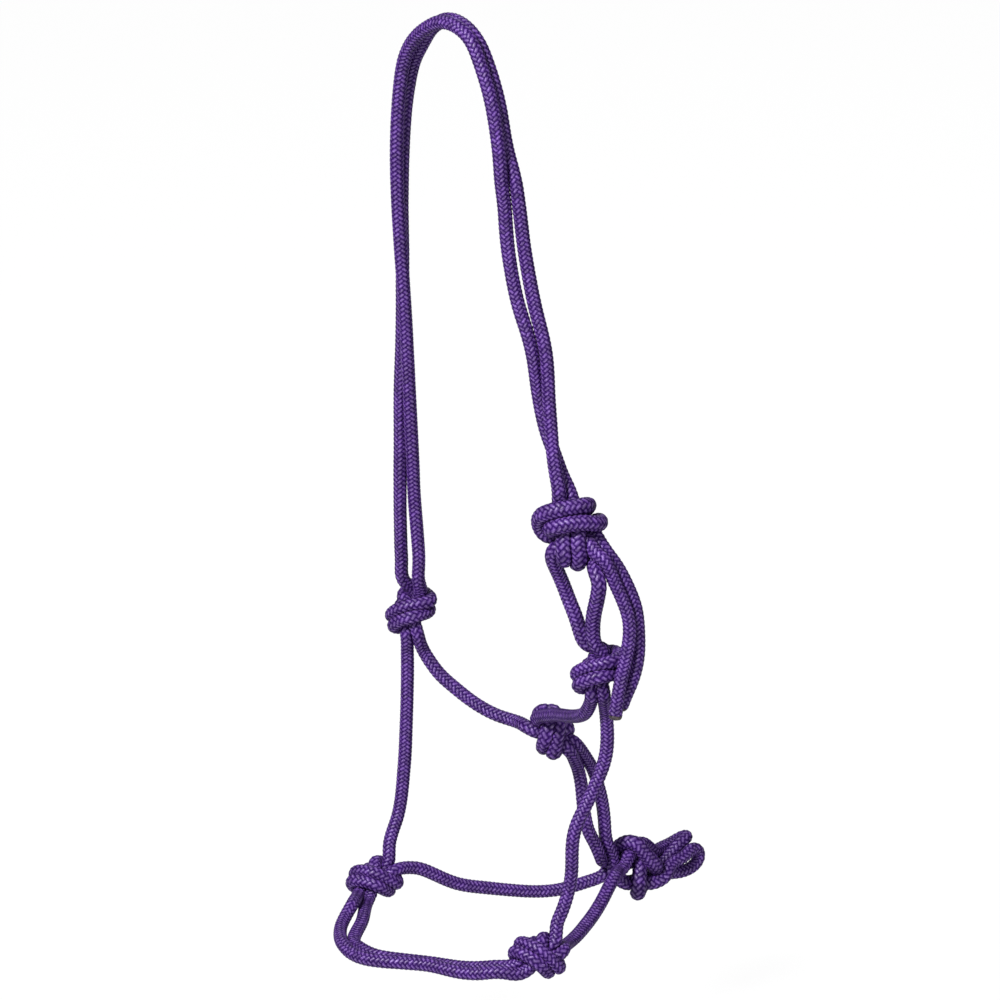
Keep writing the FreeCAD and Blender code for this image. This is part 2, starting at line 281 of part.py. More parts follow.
# Fiador knot, at the +Y end below the throat strands.
RUNS["fiador_knot"] = [
    ("flat", "flat", (-0.4215, 0.8405, 0.3403), (-0.0181, 0.7270, -0.6864), """
4.71 129.72 -1.50 3.21, 3.75 131.48 -0.62 3.29, 2.64 133.45 0.59 3.57, 1.59 135.50 1.72 3.72,
0.55 137.67 2.58 3.39, -0.52 139.92 3.21 3.19, -1.56 142.20 3.77 3.16, -2.51 144.51 4.32 3.26,
-3.37 146.89 4.72 3.60, -4.12 149.25 4.79 3.93, -4.69 151.33 4.49, -5.11 153.28 3.87,
-5.40 155.13 2.93, -5.57 156.96 1.63, -5.64 158.88 -0.08"""),
    ("flat", "flat", (0.2552, -0.8703, -0.4212), (-0.3053, -0.8352, 0.4574), """
-3.62 155.71 -20.21 3.81, -2.91 153.48 -21.21 3.78, -2.06 151.24 -22.09 3.52,
-1.06 149.03 -22.90 3.31, 0.15 146.89 -23.55 3.20, 1.32 145.20 -23.78 3.17,
2.43 143.87 -23.64 3.17, 3.53 142.74 -23.17 3.17, 4.58 141.77 -22.39 3.17,
5.54 140.98 -21.32 3.16, 6.35 140.36 -20.01 3.16, 6.95 139.92 -18.49 3.16,
7.30 139.69 -16.82 3.17, 7.42 139.67 -15.02 3.22, 7.32 139.91 -13.15 3.35,
7.03 140.43 -11.31 3.61, 6.53 141.20 -9.58 3.86, 5.80 142.13 -8.03 3.91, 4.84 143.07 -6.74 3.80,
3.71 143.85 -5.75 3.73, 2.46 144.39 -5.03 3.72, 1.14 144.68 -4.56 3.78, -0.20 144.68 -4.31 3.86,
-1.53 144.39 -4.27 3.95, -2.77 143.81 -4.42 3.99, -3.86 142.94 -4.72, -4.74 141.81 -5.09 3.98,
-5.37 140.45 -5.43 3.88, -5.71 138.90 -5.66 3.67, -5.80 137.20 -5.67 3.41, -5.72 135.39 -5.37 3.22,
-5.68 133.57 -4.76 3.14, -5.91 131.77 -3.90 3.13, -6.57 129.69 -2.76 3.15"""),
    ("flat", "flat", (0.2428, 0.3628, 0.8997), (-0.4699, 0.6343, -0.6138), """
-11.88 133.71 -2.85 3.13, -11.34 134.25 -1.31 3.15, -10.43 134.76 0.58 3.26,
-9.22 135.27 2.76 3.57, -7.91 135.84 4.86 3.74, -6.39 136.58 6.75 3.50, -4.90 137.38 8.11 3.31,
-3.39 138.25 9.07 3.21, -1.90 139.15 9.65 3.18, -0.50 140.05 9.84 3.17, 0.78 140.93 9.68 3.17,
1.94 141.81 9.18 3.16, 2.97 142.68 8.33 3.16, 3.91 143.59 7.08 3.18, 4.87 144.68 5.28 3.29,
5.77 145.87 3.22 3.56, 6.58 147.15 1.18 3.72, 7.24 148.53 -0.84 3.72, 7.64 150.03 -2.85 3.76,
7.69 151.52 -4.72 3.89, 7.41 152.96 -6.41 3.96, 6.81 154.35 -7.94 3.78, 5.81 155.75 -9.45 3.42,
4.43 157.20 -11.01 3.21, 3.09 158.71 -12.56 3.15"""),
    ("flat", "flat", (-0.3373, -0.9051, -0.2588), (-0.0518, -0.4844, 0.8733), """
7.69 155.05 -17.29 3.39, 6.79 152.88 -17.79 3.65, 5.73 150.82 -18.02 3.63, 4.52 148.87 -17.96 3.34,
3.15 146.86 -17.66 3.19, 1.93 144.78 -17.27 3.17, 1.22 142.95 -16.98 3.16, 0.88 141.09 -16.71 3.16,
0.83 139.00 -16.34 3.17, 0.93 136.83 -15.77 3.27, 0.90 135.02 -15.03 3.51, 0.64 133.40 -14.11 3.81,
0.14 131.85 -12.91 3.96, -0.48 130.39 -11.40 3.87, -0.98 129.14 -9.73 3.60,
-1.22 128.06 -7.96 3.36"""),
]

# Two loops beyond the fiador knot, for the lead.
RUNS["lead_loop_front"] = [
    ("ball", "ball", (-0.1666, 0.8212, -0.5458), (-0.1488, -0.8894, -0.4322), """
1.84 161.58 -14.89 3.12, 1.60 163.37 -15.94 3.14, 1.45 165.61 -16.93 3.18, 1.33 168.42 -17.86 3.41,
1.43 171.39 -18.57 3.81, 1.82 174.17 -19.02 3.96, 2.46 177.13 -19.25, 3.20 180.23 -19.17,
3.83 183.12 -18.75, 4.31 185.67 -18.02, 4.62 187.81 -17.06, 4.78 189.53 -15.93,
4.81 190.85 -14.66, 4.75 191.77 -13.31, 4.62 192.32 -11.93, 4.45 192.48 -10.57,
4.27 192.26 -9.22, 4.11 191.64 -8.00, 4.01 190.66 -7.03, 4.01 189.44 -6.39,
4.11 188.06 -6.08, 4.34 186.45 -6.07, 4.74 184.44 -6.39, 5.45 181.33 -7.15 3.99,
6.24 176.89 -8.18 3.96, 6.29 174.20 -8.73 3.94, 6.03 171.20 -9.40 3.93, 5.99 168.89 -10.06 3.80,
6.30 167.11 -10.75 3.57, 6.97 165.40 -11.61 3.35, 7.95 163.53 -12.83 3.23, 8.62 161.85 -14.02 3.19,
8.85 160.30 -15.02 3.18, 8.73 158.65 -15.92 3.19"""),
]
RUNS["lead_loop_rear"] = [
    ("ball", "ball", (-0.1109, 0.8168, -0.5661), (0.1789, -0.8233, -0.5387), """
-5.87 162.49 -3.19 3.98, -6.22 164.34 -4.26 3.84, -6.73 166.13 -4.91 3.69, -7.42 168.03 -5.27 3.63,
-8.27 170.32 -5.41 3.64, -9.00 172.95 -5.39 3.73, -9.29 175.41 -5.29 3.84, -9.27 177.99 -5.07 3.91,
-9.07 181.25 -4.57 3.94, -8.96 185.08 -3.73 3.77, -8.66 187.01 -3.12 3.75, -8.13 188.25 -2.56 3.80,
-7.29 189.17 -1.96 3.87, -6.16 189.65 -1.33 3.94, -4.88 189.59 -0.80 3.94, -3.69 188.99 -0.43 3.87,
-2.73 188.01 -0.25 3.79, -2.05 186.81 -0.25 3.75, -1.60 185.41 -0.43 3.76, -1.36 183.78 -0.84 3.82,
-1.28 181.92 -1.57 3.93, -1.27 179.84 -2.72 3.96, -1.30 177.54 -4.37 3.91, -1.47 174.98 -6.57 3.78,
-1.93 172.33 -8.88 3.65, -2.59 170.25 -10.42 3.60, -3.68 167.73 -12.04 3.37,
-4.63 165.17 -13.80 3.15, -4.95 163.33 -15.20 3.11, -4.90 161.42 -16.67 3.14,
-4.52 159.21 -18.24 3.32"""),
]

# Near side (+X): cheek, chin, nose and throat.
RUNS["near_cheek_knot"] = [
    ("flat", "flat", (0.5414, -0.3545, 0.7624), (-0.2485, -0.6078, 0.7542), """
86.26 31.66 158.16 3.37, 87.50 30.77 160.23 3.24, 88.11 30.19 161.97 3.19, 88.27 29.83 163.54 3.15,
88.06 29.65 165.02 3.12, 87.54 29.65 166.45 3.10, 86.71 29.84 167.84 3.09, 85.59 30.28 169.26 3.10,
84.12 31.03 170.82 3.13, 82.43 32.12 172.43 3.13, 80.77 33.38 173.73 3.11, 79.44 34.62 174.48 3.10,
78.38 35.94 174.86 3.10, 77.60 37.36 174.99 3.11, 77.13 38.88 174.95 3.12, 77.00 40.46 174.82 3.13,
77.21 42.07 174.63 3.14, 77.77 43.65 174.40 3.15, 78.65 45.12 174.15 3.16, 79.80 46.38 173.90 3.16,
81.16 47.35 173.66 3.16, 82.68 47.99 173.47 3.16, 84.31 48.29 173.36 3.16, 86.07 48.26 173.31 3.17,
88.02 47.88 173.36 3.20, 90.23 47.14 173.48 3.28, 92.54 46.02 173.67 3.25, 94.41 44.76 173.86 3.18,
95.73 43.44 174.06 3.17, 96.65 42.00 174.26 3.16, 97.23 40.39 174.49 3.17, 97.51 38.53 174.74 3.21,
97.49 36.34 175.00 3.29, 97.18 33.89 175.20 3.28, 96.62 31.73 175.23 3.21, 95.86 29.98 175.06 3.18,
94.87 28.51 174.69 3.18, 93.62 27.20 174.13 3.21, 92.02 25.99 173.31 3.29, 90.05 24.86 172.22 3.33,
88.07 24.03 171.03 3.22, 86.44 23.66 169.94 3.18, 85.07 23.67 168.92 3.16, 83.91 24.03 167.95 3.16,
82.93 24.70 167.01 3.15, 82.16 25.65 166.15 3.14, 81.63 26.83 165.39 3.13, 81.37 28.18 164.78 3.12,
81.39 29.60 164.36 3.11, 81.71 31.04 164.15 3.10, 82.30 32.45 164.17 3.09, 83.16 33.77 164.45 3.09,
84.25 35.02 165.02 3.11, 85.52 36.18 165.95 3.15, 86.87 37.28 167.26 3.20, 88.15 38.23 168.86 3.17,
89.21 38.91 170.59 3.15, 90.04 39.30 172.37 3.15, 90.65 39.40 174.28 3.15, 91.04 39.25 176.37 3.15,
91.16 38.91 178.71 3.17, 90.96 38.44 181.24 3.18, 90.50 37.87 183.71 3.21, 89.94 37.12 185.68 3.30,
89.32 36.00 187.50 3.47, 88.64 34.44 189.44 3.77"""),
    ("flat", "flat", (0.5818, 0.4607, -0.6703), (-0.4469, 0.4393, -0.7793), """
77.38 34.67 189.07 3.96, 78.40 35.54 188.11 3.81, 79.52 36.59 187.49 3.57, 80.83 37.91 187.10 3.36,
82.53 39.61 186.67 3.22, 83.82 40.83 185.97 3.16, 84.76 41.68 185.02 3.12, 85.47 42.31 183.84 3.10,
85.97 42.77 182.45 3.09, 86.21 43.04 180.93 3.09, 86.16 43.09 179.36 3.09, 85.82 42.91 177.77 3.09,
85.22 42.49 176.12 3.11, 84.32 41.77 174.31 3.14, 83.07 40.74 172.28 3.14, 81.66 39.55 170.52 3.11,
80.38 38.37 169.38 3.10, 79.25 37.13 168.69 3.10, 78.31 35.78 168.36 3.10, 77.59 34.35 168.32 3.11,
77.12 32.85 168.55 3.12, 76.91 31.36 169.02 3.13, 76.98 29.94 169.70 3.13, 77.32 28.67 170.54 3.14,
77.93 27.63 171.51 3.15, 78.76 26.87 172.54 3.15, 79.82 26.39 173.61 3.15, 81.09 26.20 174.72 3.16,
82.63 26.29 175.89 3.20, 84.49 26.69 177.14 3.29, 86.63 27.42 178.41 3.25, 88.77 28.40 179.50 3.21,
90.86 29.65 180.39 3.24, 92.88 31.11 181.11 3.29, 94.75 32.80 181.72 3.22, 96.11 34.49 182.19 3.19,
96.89 36.07 182.53 3.18, 97.23 37.61 182.79 3.18, 97.19 39.14 182.98 3.19, 96.78 40.67 183.12 3.19,
96.00 42.23 183.20 3.21, 94.83 43.87 183.23 3.27, 93.19 45.63 183.21 3.34, 91.21 47.31 183.12 3.24,
89.30 48.47 182.99 3.17, 87.57 49.09 182.81 3.15, 85.97 49.28 182.60 3.15, 84.47 49.08 182.35 3.14,
83.09 48.54 182.07 3.13, 81.89 47.68 181.78 3.12, 80.92 46.56 181.48 3.12, 80.24 45.25 181.18 3.11,
79.91 43.82 180.91 3.10, 79.94 42.35 180.66 3.09, 80.33 40.89 180.41 3.09, 81.09 39.46 180.11 3.09,
82.19 38.07 179.69 3.10, 83.61 36.71 179.04 3.14, 85.22 35.41 178.07 3.18, 86.83 34.30 176.80 3.16,
88.32 33.49 175.35 3.15, 89.67 33.03 173.79 3.15, 90.89 32.89 172.07 3.15, 91.98 33.01 170.15 3.16,
92.86 33.32 168.02 3.21, 93.41 33.74 165.86 3.27, 93.55 34.23 163.87 3.33, 93.34 34.80 162.03 3.38,
92.78 35.52 160.26 3.44, 91.86 36.46 158.41 3.51"""),
]
RUNS["near_cheek_piece"] = [
    ("flat", "flat", (-0.4474, 0.4397, -0.7788), (0.3799, -0.3692, -0.8481), """
91.85 36.47 158.39 3.51, 90.55 37.74 156.33 3.63, 88.45 39.88 153.27 3.91, 85.50 43.07 148.45,
84.30 44.43 145.81, 83.56 45.34 143.48, 83.10 45.99 141.07, 82.83 46.49 138.28,
82.65 46.96 134.37, 82.37 47.42 128.06, 82.13 47.39 123.36, 81.92 47.02 119.19,
81.73 46.35 115.59, 81.57 45.37 112.27, 81.39 43.98 108.79, 81.17 41.84 104.41,
80.82 38.16 97.61, 80.51 34.50 91.53, 80.18 30.13 84.94, 79.95 27.34 80.42,
79.80 25.90 77.42, 79.65 24.85 74.44, 79.48 24.10 71.21, 79.30 23.63 67.55,
79.08 23.45 63.20, 78.79 23.60 57.50, 78.38 23.77 49.33, 78.16 23.49 45.01,
77.94 22.85 40.80, 77.71 21.79 36.22, 77.44 20.18 30.95, 77.21 18.55 26.62,
77.00 16.92 23.17, 76.91 15.33 20.37, 77.06 14.07 18.22, 77.56 12.87 15.98 3.97,
78.69 11.57 13.11 3.62"""),
]
RUNS["near_chin_strand"] = [
    ("flat", "flat", (-0.7251, 0.6364, -0.2632), (-0.4211, 0.8413, 0.3389), """
81.07 15.72 2.51 3.30, 79.38 17.11 1.79 3.34, 77.05 18.89 0.56 3.64, 73.30 21.97 -1.58,
68.57 26.19 -4.23, 62.52 31.83 -7.52, 58.29 36.18 -9.67, 55.86 39.12 -10.75,
54.02 41.80 -11.41, 52.41 44.61 -11.82, 50.75 47.95 -12.03, 48.50 52.69 -12.05,
45.47 58.72 -11.80, 42.03 65.44 -11.20, 38.00 73.31 -10.18, 34.68 79.79 -8.97,
31.97 85.08 -7.62, 29.47 89.96 -6.00, 27.29 94.21 -4.22, 24.67 99.38 -1.71,
22.33 104.05 0.34, 20.96 106.60 1.11, 19.61 108.78 1.46, 18.13 110.87 1.49,
16.35 113.07 1.18, 13.98 115.70 0.44, 10.08 119.86 -1.04, 8.35 122.04 -1.71 3.90,
7.21 123.96 -2.10 3.58, 6.33 125.92 -2.24 3.30, 5.56 127.83 -2.06 3.21, 4.72 129.70 -1.51 3.21"""),
]
RUNS["near_nose_knot"] = [
    ("flat", "flat", (0.5886, 0.7749, 0.2306), (-0.7248, 0.6371, -0.2621), """
72.42 -15.89 -2.54 3.37, 73.56 -14.20 -1.89 3.21, 74.29 -12.67 -1.06 3.13, 74.67 -11.15 -0.07 3.11,
74.74 -9.53 1.07 3.11, 74.52 -7.62 2.43 3.14, 74.02 -5.56 3.87 3.13, 73.24 -3.48 5.14 3.09,
72.41 -1.81 5.85 3.08, 71.59 -0.35 6.11 3.07, 70.84 1.01 5.98 3.08, 70.23 2.29 5.51 3.08,
69.80 3.50 4.75 3.09, 69.61 4.60 3.76 3.10, 69.67 5.55 2.59 3.10, 69.99 6.28 1.33 3.11,
70.57 6.78 0.04 3.13, 71.40 7.01 -1.23 3.14, 72.46 6.97 -2.46 3.15, 73.80 6.66 -3.65 3.17,
75.52 6.07 -4.85 3.20, 77.62 5.20 -6.02 3.21, 79.78 4.17 -6.96 3.19, 81.50 3.16 -7.43 3.16,
82.87 2.17 -7.52 3.16, 84.03 1.11 -7.27 3.16, 85.02 -0.03 -6.70 3.16, 85.86 -1.32 -5.79 3.18,
86.60 -2.81 -4.49 3.20, 87.20 -4.56 -2.76 3.21, 87.51 -6.31 -0.91 3.19, 87.45 -7.70 0.59 3.16,
87.06 -8.83 1.83 3.15, 86.36 -9.80 2.89 3.15, 85.33 -10.65 3.80 3.15, 83.93 -11.40 4.60 3.16,
82.09 -12.09 5.29 3.21, 79.76 -12.73 5.85 3.24, 77.34 -13.22 6.17 3.19, 75.28 -13.46 6.18 3.14,
73.55 -13.48 5.92 3.12, 72.05 -13.32 5.41 3.12, 70.77 -12.98 4.67 3.11, 69.73 -12.47 3.73 3.11,
68.98 -11.81 2.63 3.11, 68.53 -11.05 1.43 3.11, 68.43 -10.22 0.22 3.11, 68.66 -9.35 -0.95 3.11,
69.23 -8.46 -1.99 3.11, 70.13 -7.57 -2.85 3.11, 71.34 -6.66 -3.49 3.12, 72.85 -5.70 -3.85 3.14,
74.62 -4.63 -3.90 3.19, 76.54 -3.40 -3.59 3.22, 78.53 -1.92 -2.92 3.20, 80.34 -0.34 -2.04 3.17,
81.98 1.37 -1.06 3.16, 83.39 3.26 -0.05 3.16, 84.36 5.07 0.80 3.14, 84.92 6.75 1.50 3.14,
85.13 8.33 2.09 3.17, 85.01 9.84 2.56 3.22, 84.55 11.32 2.89 3.28, 83.75 12.78 3.04 3.31,
82.61 14.23 2.94 3.31, 81.09 15.71 2.52 3.30"""),
    ("flat", "flat", (0.3801, -0.3693, -0.8481), (-0.2999, -0.9172, -0.2625), """
78.69 11.56 13.09 3.62, 79.63 10.55 10.91 3.32, 80.21 9.41 8.94 3.17, 80.28 8.36 7.47 3.12,
79.98 7.28 6.17 3.10, 79.33 6.16 4.94 3.10, 78.30 4.95 3.69 3.12, 76.78 3.54 2.30 3.14,
75.02 2.15 1.03 3.11, 73.25 0.91 0.17 3.08, 71.75 -0.07 -0.14 3.07, 70.41 -0.97 -0.03 3.08,
69.25 -1.84 0.43 3.08, 68.30 -2.73 1.18 3.08, 67.63 -3.64 2.17 3.09, 67.26 -4.54 3.32 3.09,
67.23 -5.41 4.56 3.10, 67.55 -6.22 5.80 3.11, 68.20 -6.93 6.97 3.12, 69.15 -7.49 8.00 3.13,
70.38 -7.91 8.85 3.14, 71.85 -8.15 9.49 3.14, 73.58 -8.23 9.93 3.16, 75.64 -8.15 10.17 3.21,
78.05 -7.87 10.18 3.23, 80.49 -7.41 9.92 3.20, 82.50 -6.80 9.42 3.17, 84.12 -6.06 8.70 3.17,
85.49 -5.16 7.74 3.18, 86.70 -4.06 6.50 3.21, 87.85 -2.71 4.88 3.22, 88.82 -1.23 3.00 3.21,
89.52 0.26 1.01 3.20, 89.80 1.65 -0.77 3.17, 89.69 2.87 -2.17 3.16, 89.26 4.03 -3.27 3.16,
88.55 5.13 -4.09 3.16, 87.61 6.19 -4.64 3.15, 86.46 7.17 -4.90 3.15, 85.17 8.05 -4.84 3.14,
83.76 8.81 -4.46 3.14, 82.24 9.46 -3.73 3.15, 80.55 10.00 -2.63 3.19, 78.68 10.44 -1.09 3.20,
76.88 10.68 0.68 3.15, 75.57 10.62 2.29 3.12, 74.68 10.31 3.75 3.11, 74.12 9.75 5.11 3.11,
73.84 8.96 6.37 3.10, 73.83 7.98 7.48 3.10, 74.09 6.86 8.41 3.10, 74.57 5.64 9.08 3.10,
75.25 4.39 9.45 3.11, 76.06 3.13 9.48 3.11, 76.95 1.89 9.16 3.12, 77.88 0.67 8.47 3.14,
78.79 -0.60 7.37 3.16, 79.63 -2.04 5.83 3.17, 80.30 -3.72 3.99 3.17, 80.74 -5.51 2.16 3.17,
80.97 -7.38 0.40 3.15, 81.01 -9.36 -1.27 3.18, 80.83 -11.44 -2.78 3.25, 80.46 -13.42 -3.92 3.31,
79.94 -15.24 -4.62 3.37"""),
]
RUNS["near_throatlatch"] = [
    ("flat", "flat", (0.8008, -0.2831, 0.5279), (0.5420, -0.3545, 0.7619), """
0.36 64.30 112.05 3.24, 2.20 63.75 113.13 3.51, 4.92 63.05 114.46 3.91, 9.27 61.77 116.41,
16.57 59.45 119.57, 24.38 57.04 122.82, 30.78 54.83 125.28, 37.24 52.32 127.55,
45.00 49.22 130.29, 52.73 46.21 133.20, 60.10 43.27 136.30, 66.24 40.63 139.25,
70.93 38.54 141.84, 73.71 37.36 143.71, 76.03 36.44 145.65, 78.34 35.59 148.03,
81.08 34.49 151.42, 83.99 33.02 155.21 3.76, 86.25 31.66 158.15 3.37"""),
]

# Two strands across the nose, between the nose knots.
RUNS["noseband_strand_inner"] = [
    ("ball", "ball", (0.7262, -0.6698, 0.1549), (0.7023, 0.7109, 0.0378), """
-61.89 -20.30 -8.44 3.60, -59.21 -22.67 -7.84 3.73, -54.75 -26.59 -7.09 3.99, -51.34 -29.69 -6.89,
-47.62 -33.21 -6.98, -43.90 -37.07 -7.29, -41.06 -40.50 -7.67, -38.06 -44.63 -8.20,
-33.25 -50.98 -8.89, -30.45 -54.04 -9.07, -28.00 -56.20 -9.13, -25.58 -57.88 -9.09,
-23.01 -59.27 -8.92, -20.20 -60.41 -8.62, -17.10 -61.30 -8.26, -13.91 -61.88 -8.00,
-10.75 -62.15 -7.93, -7.53 -62.11 -8.00, -4.51 -61.75 -8.14, -1.81 -61.08 -8.27,
0.77 -60.07 -8.39, 3.48 -58.62 -8.50, 6.74 -56.43 -8.63, 12.28 -52.29 -8.85,
19.29 -46.88 -9.11, 24.30 -43.28 -9.17, 27.71 -41.24 -9.09, 31.47 -39.41 -8.91,
35.56 -37.78 -8.59, 41.19 -35.91 -7.97, 46.19 -34.07 -7.31, 50.73 -32.02 -6.64,
55.26 -29.63 -5.79, 60.27 -26.74 -4.54, 63.34 -24.78 -3.77 3.97, 65.72 -22.96 -3.35 3.89,
68.25 -20.62 -3.14 3.75"""),
]
RUNS["noseband_strand_outer"] = [
    ("ball", "ball", (-0.4765, -0.8600, 0.1824), (-0.6558, 0.7511, -0.0758), """
77.50 -20.81 -4.67 3.54, 76.13 -23.04 -4.11 3.63, 74.31 -25.48 -3.55 3.75, 72.53 -27.50 -3.35 3.84,
70.74 -29.22 -3.48 3.91, 68.75 -30.85 -3.90 3.97, 66.20 -32.62 -4.61, 62.58 -34.83 -5.51,
58.83 -36.96 -6.10, 54.56 -39.19 -6.48, 49.90 -41.31 -6.68, 45.43 -42.97 -6.73,
39.91 -44.70 -6.74, 34.25 -46.76 -6.78, 30.90 -48.42 -6.85, 27.73 -50.38 -6.93,
24.26 -52.94 -7.02, 18.32 -57.64 -7.17, 11.25 -63.05 -7.41, 6.97 -65.95 -7.57,
3.89 -67.58 -7.70, 0.88 -68.77 -7.82, -2.19 -69.60 -7.95, -5.42 -70.11 -8.06,
-8.95 -70.32 -8.09, -12.53 -70.22 -7.96, -15.95 -69.81 -7.69, -19.41 -69.05 -7.33,
-22.79 -67.96 -7.03, -25.95 -66.60 -6.86, -29.09 -64.90 -6.86, -32.65 -62.56 -7.00,
-37.51 -59.00 -7.15, -41.48 -55.76 -7.08, -44.56 -52.85 -6.89, -46.81 -50.37 -6.56,
-48.44 -48.28 -6.06, -49.74 -46.27 -5.32, -50.91 -44.01 -4.19, -52.26 -40.86 -2.38,
-53.20 -38.82 -1.39, -54.21 -37.02 -0.81, -55.44 -35.20 -0.53, -57.00 -33.24 -0.59,
-59.07 -30.95 -1.05, -62.06 -27.94 -2.04 3.86, -66.72 -23.54 -3.84 3.58, -69.10 -21.28 -4.63 3.47,
-70.60 -19.69 -4.93 3.39"""),
]

# Two free tails hanging from the tie knot, each with a melted end.
RUNS["tail_front"] = [
    ("ball", "flat", (0.8428, 0.2149, -0.4935), (0.0931, -0.2033, -0.9747), """
89.88 31.56 248.57 3.67, 92.59 32.39 246.93 3.77, 94.34 33.15 245.49 3.87, 95.49 33.83 244.04 3.93,
96.30 34.47 242.44 3.95, 96.86 35.07 240.55 3.96, 97.34 35.68 238.03 3.97, 98.15 36.52 234.55,
99.19 37.39 231.68, 100.96 38.78 227.31, 102.53 39.90 222.93, 104.37 41.01 217.37,
106.23 41.87 211.29, 106.92 41.99 208.02, 107.39 41.85 204.65, 107.71 41.43 200.69,
107.85 40.70 196.20, 107.87 39.50 190.59, 107.78 37.67 183.39, 107.46 35.55 175.19,
107.48 34.14 169.41, 107.60 32.47 161.56, 107.80 31.44 156.28"""),
]
RUNS["tail_front_sealed_end"] = [
    ("flat", "dome", (0.0937, -0.2035, -0.9746), (0.1731, -0.2226, -0.9594), """
107.80 31.44 156.26 3.75, 107.97 31.10 154.64 3.75, 108.21 30.74 153.03 3.75,
108.48 30.37 151.43 3.75"""),
]
RUNS["tail_rear"] = [
    ("flat", "ball", (0.2325, 0.2375, 0.9431), (-0.5898, -0.3176, 0.7425), """
104.47 39.61 158.94, 105.17 40.55 162.04, 105.95 42.03 166.07, 107.31 45.09 174.36,
107.58 46.33 178.37, 107.58 47.51 182.80, 107.43 48.47 187.60, 107.21 48.97 191.88,
106.72 49.35 197.01, 105.82 49.80 203.05, 104.73 49.99 208.79, 103.58 49.83 213.85,
102.52 49.35 217.96, 101.52 48.57 221.47, 100.07 47.31 225.94, 97.77 45.55 232.16,
95.65 44.01 236.91, 93.58 42.51 240.85 3.99, 91.67 40.98 243.97 3.93, 89.63 39.64 246.76 3.77"""),
]
RUNS["tail_rear_sealed_end"] = [
    ("dome", "flat", (0.2788, 0.1371, 0.9505), (0.2329, 0.2367, 0.9433), """
103.18 38.70 154.20 3.75, 103.64 38.94 155.78 3.75, 104.07 39.23 157.35 3.75,
104.47 39.60 158.93 3.75"""),
]

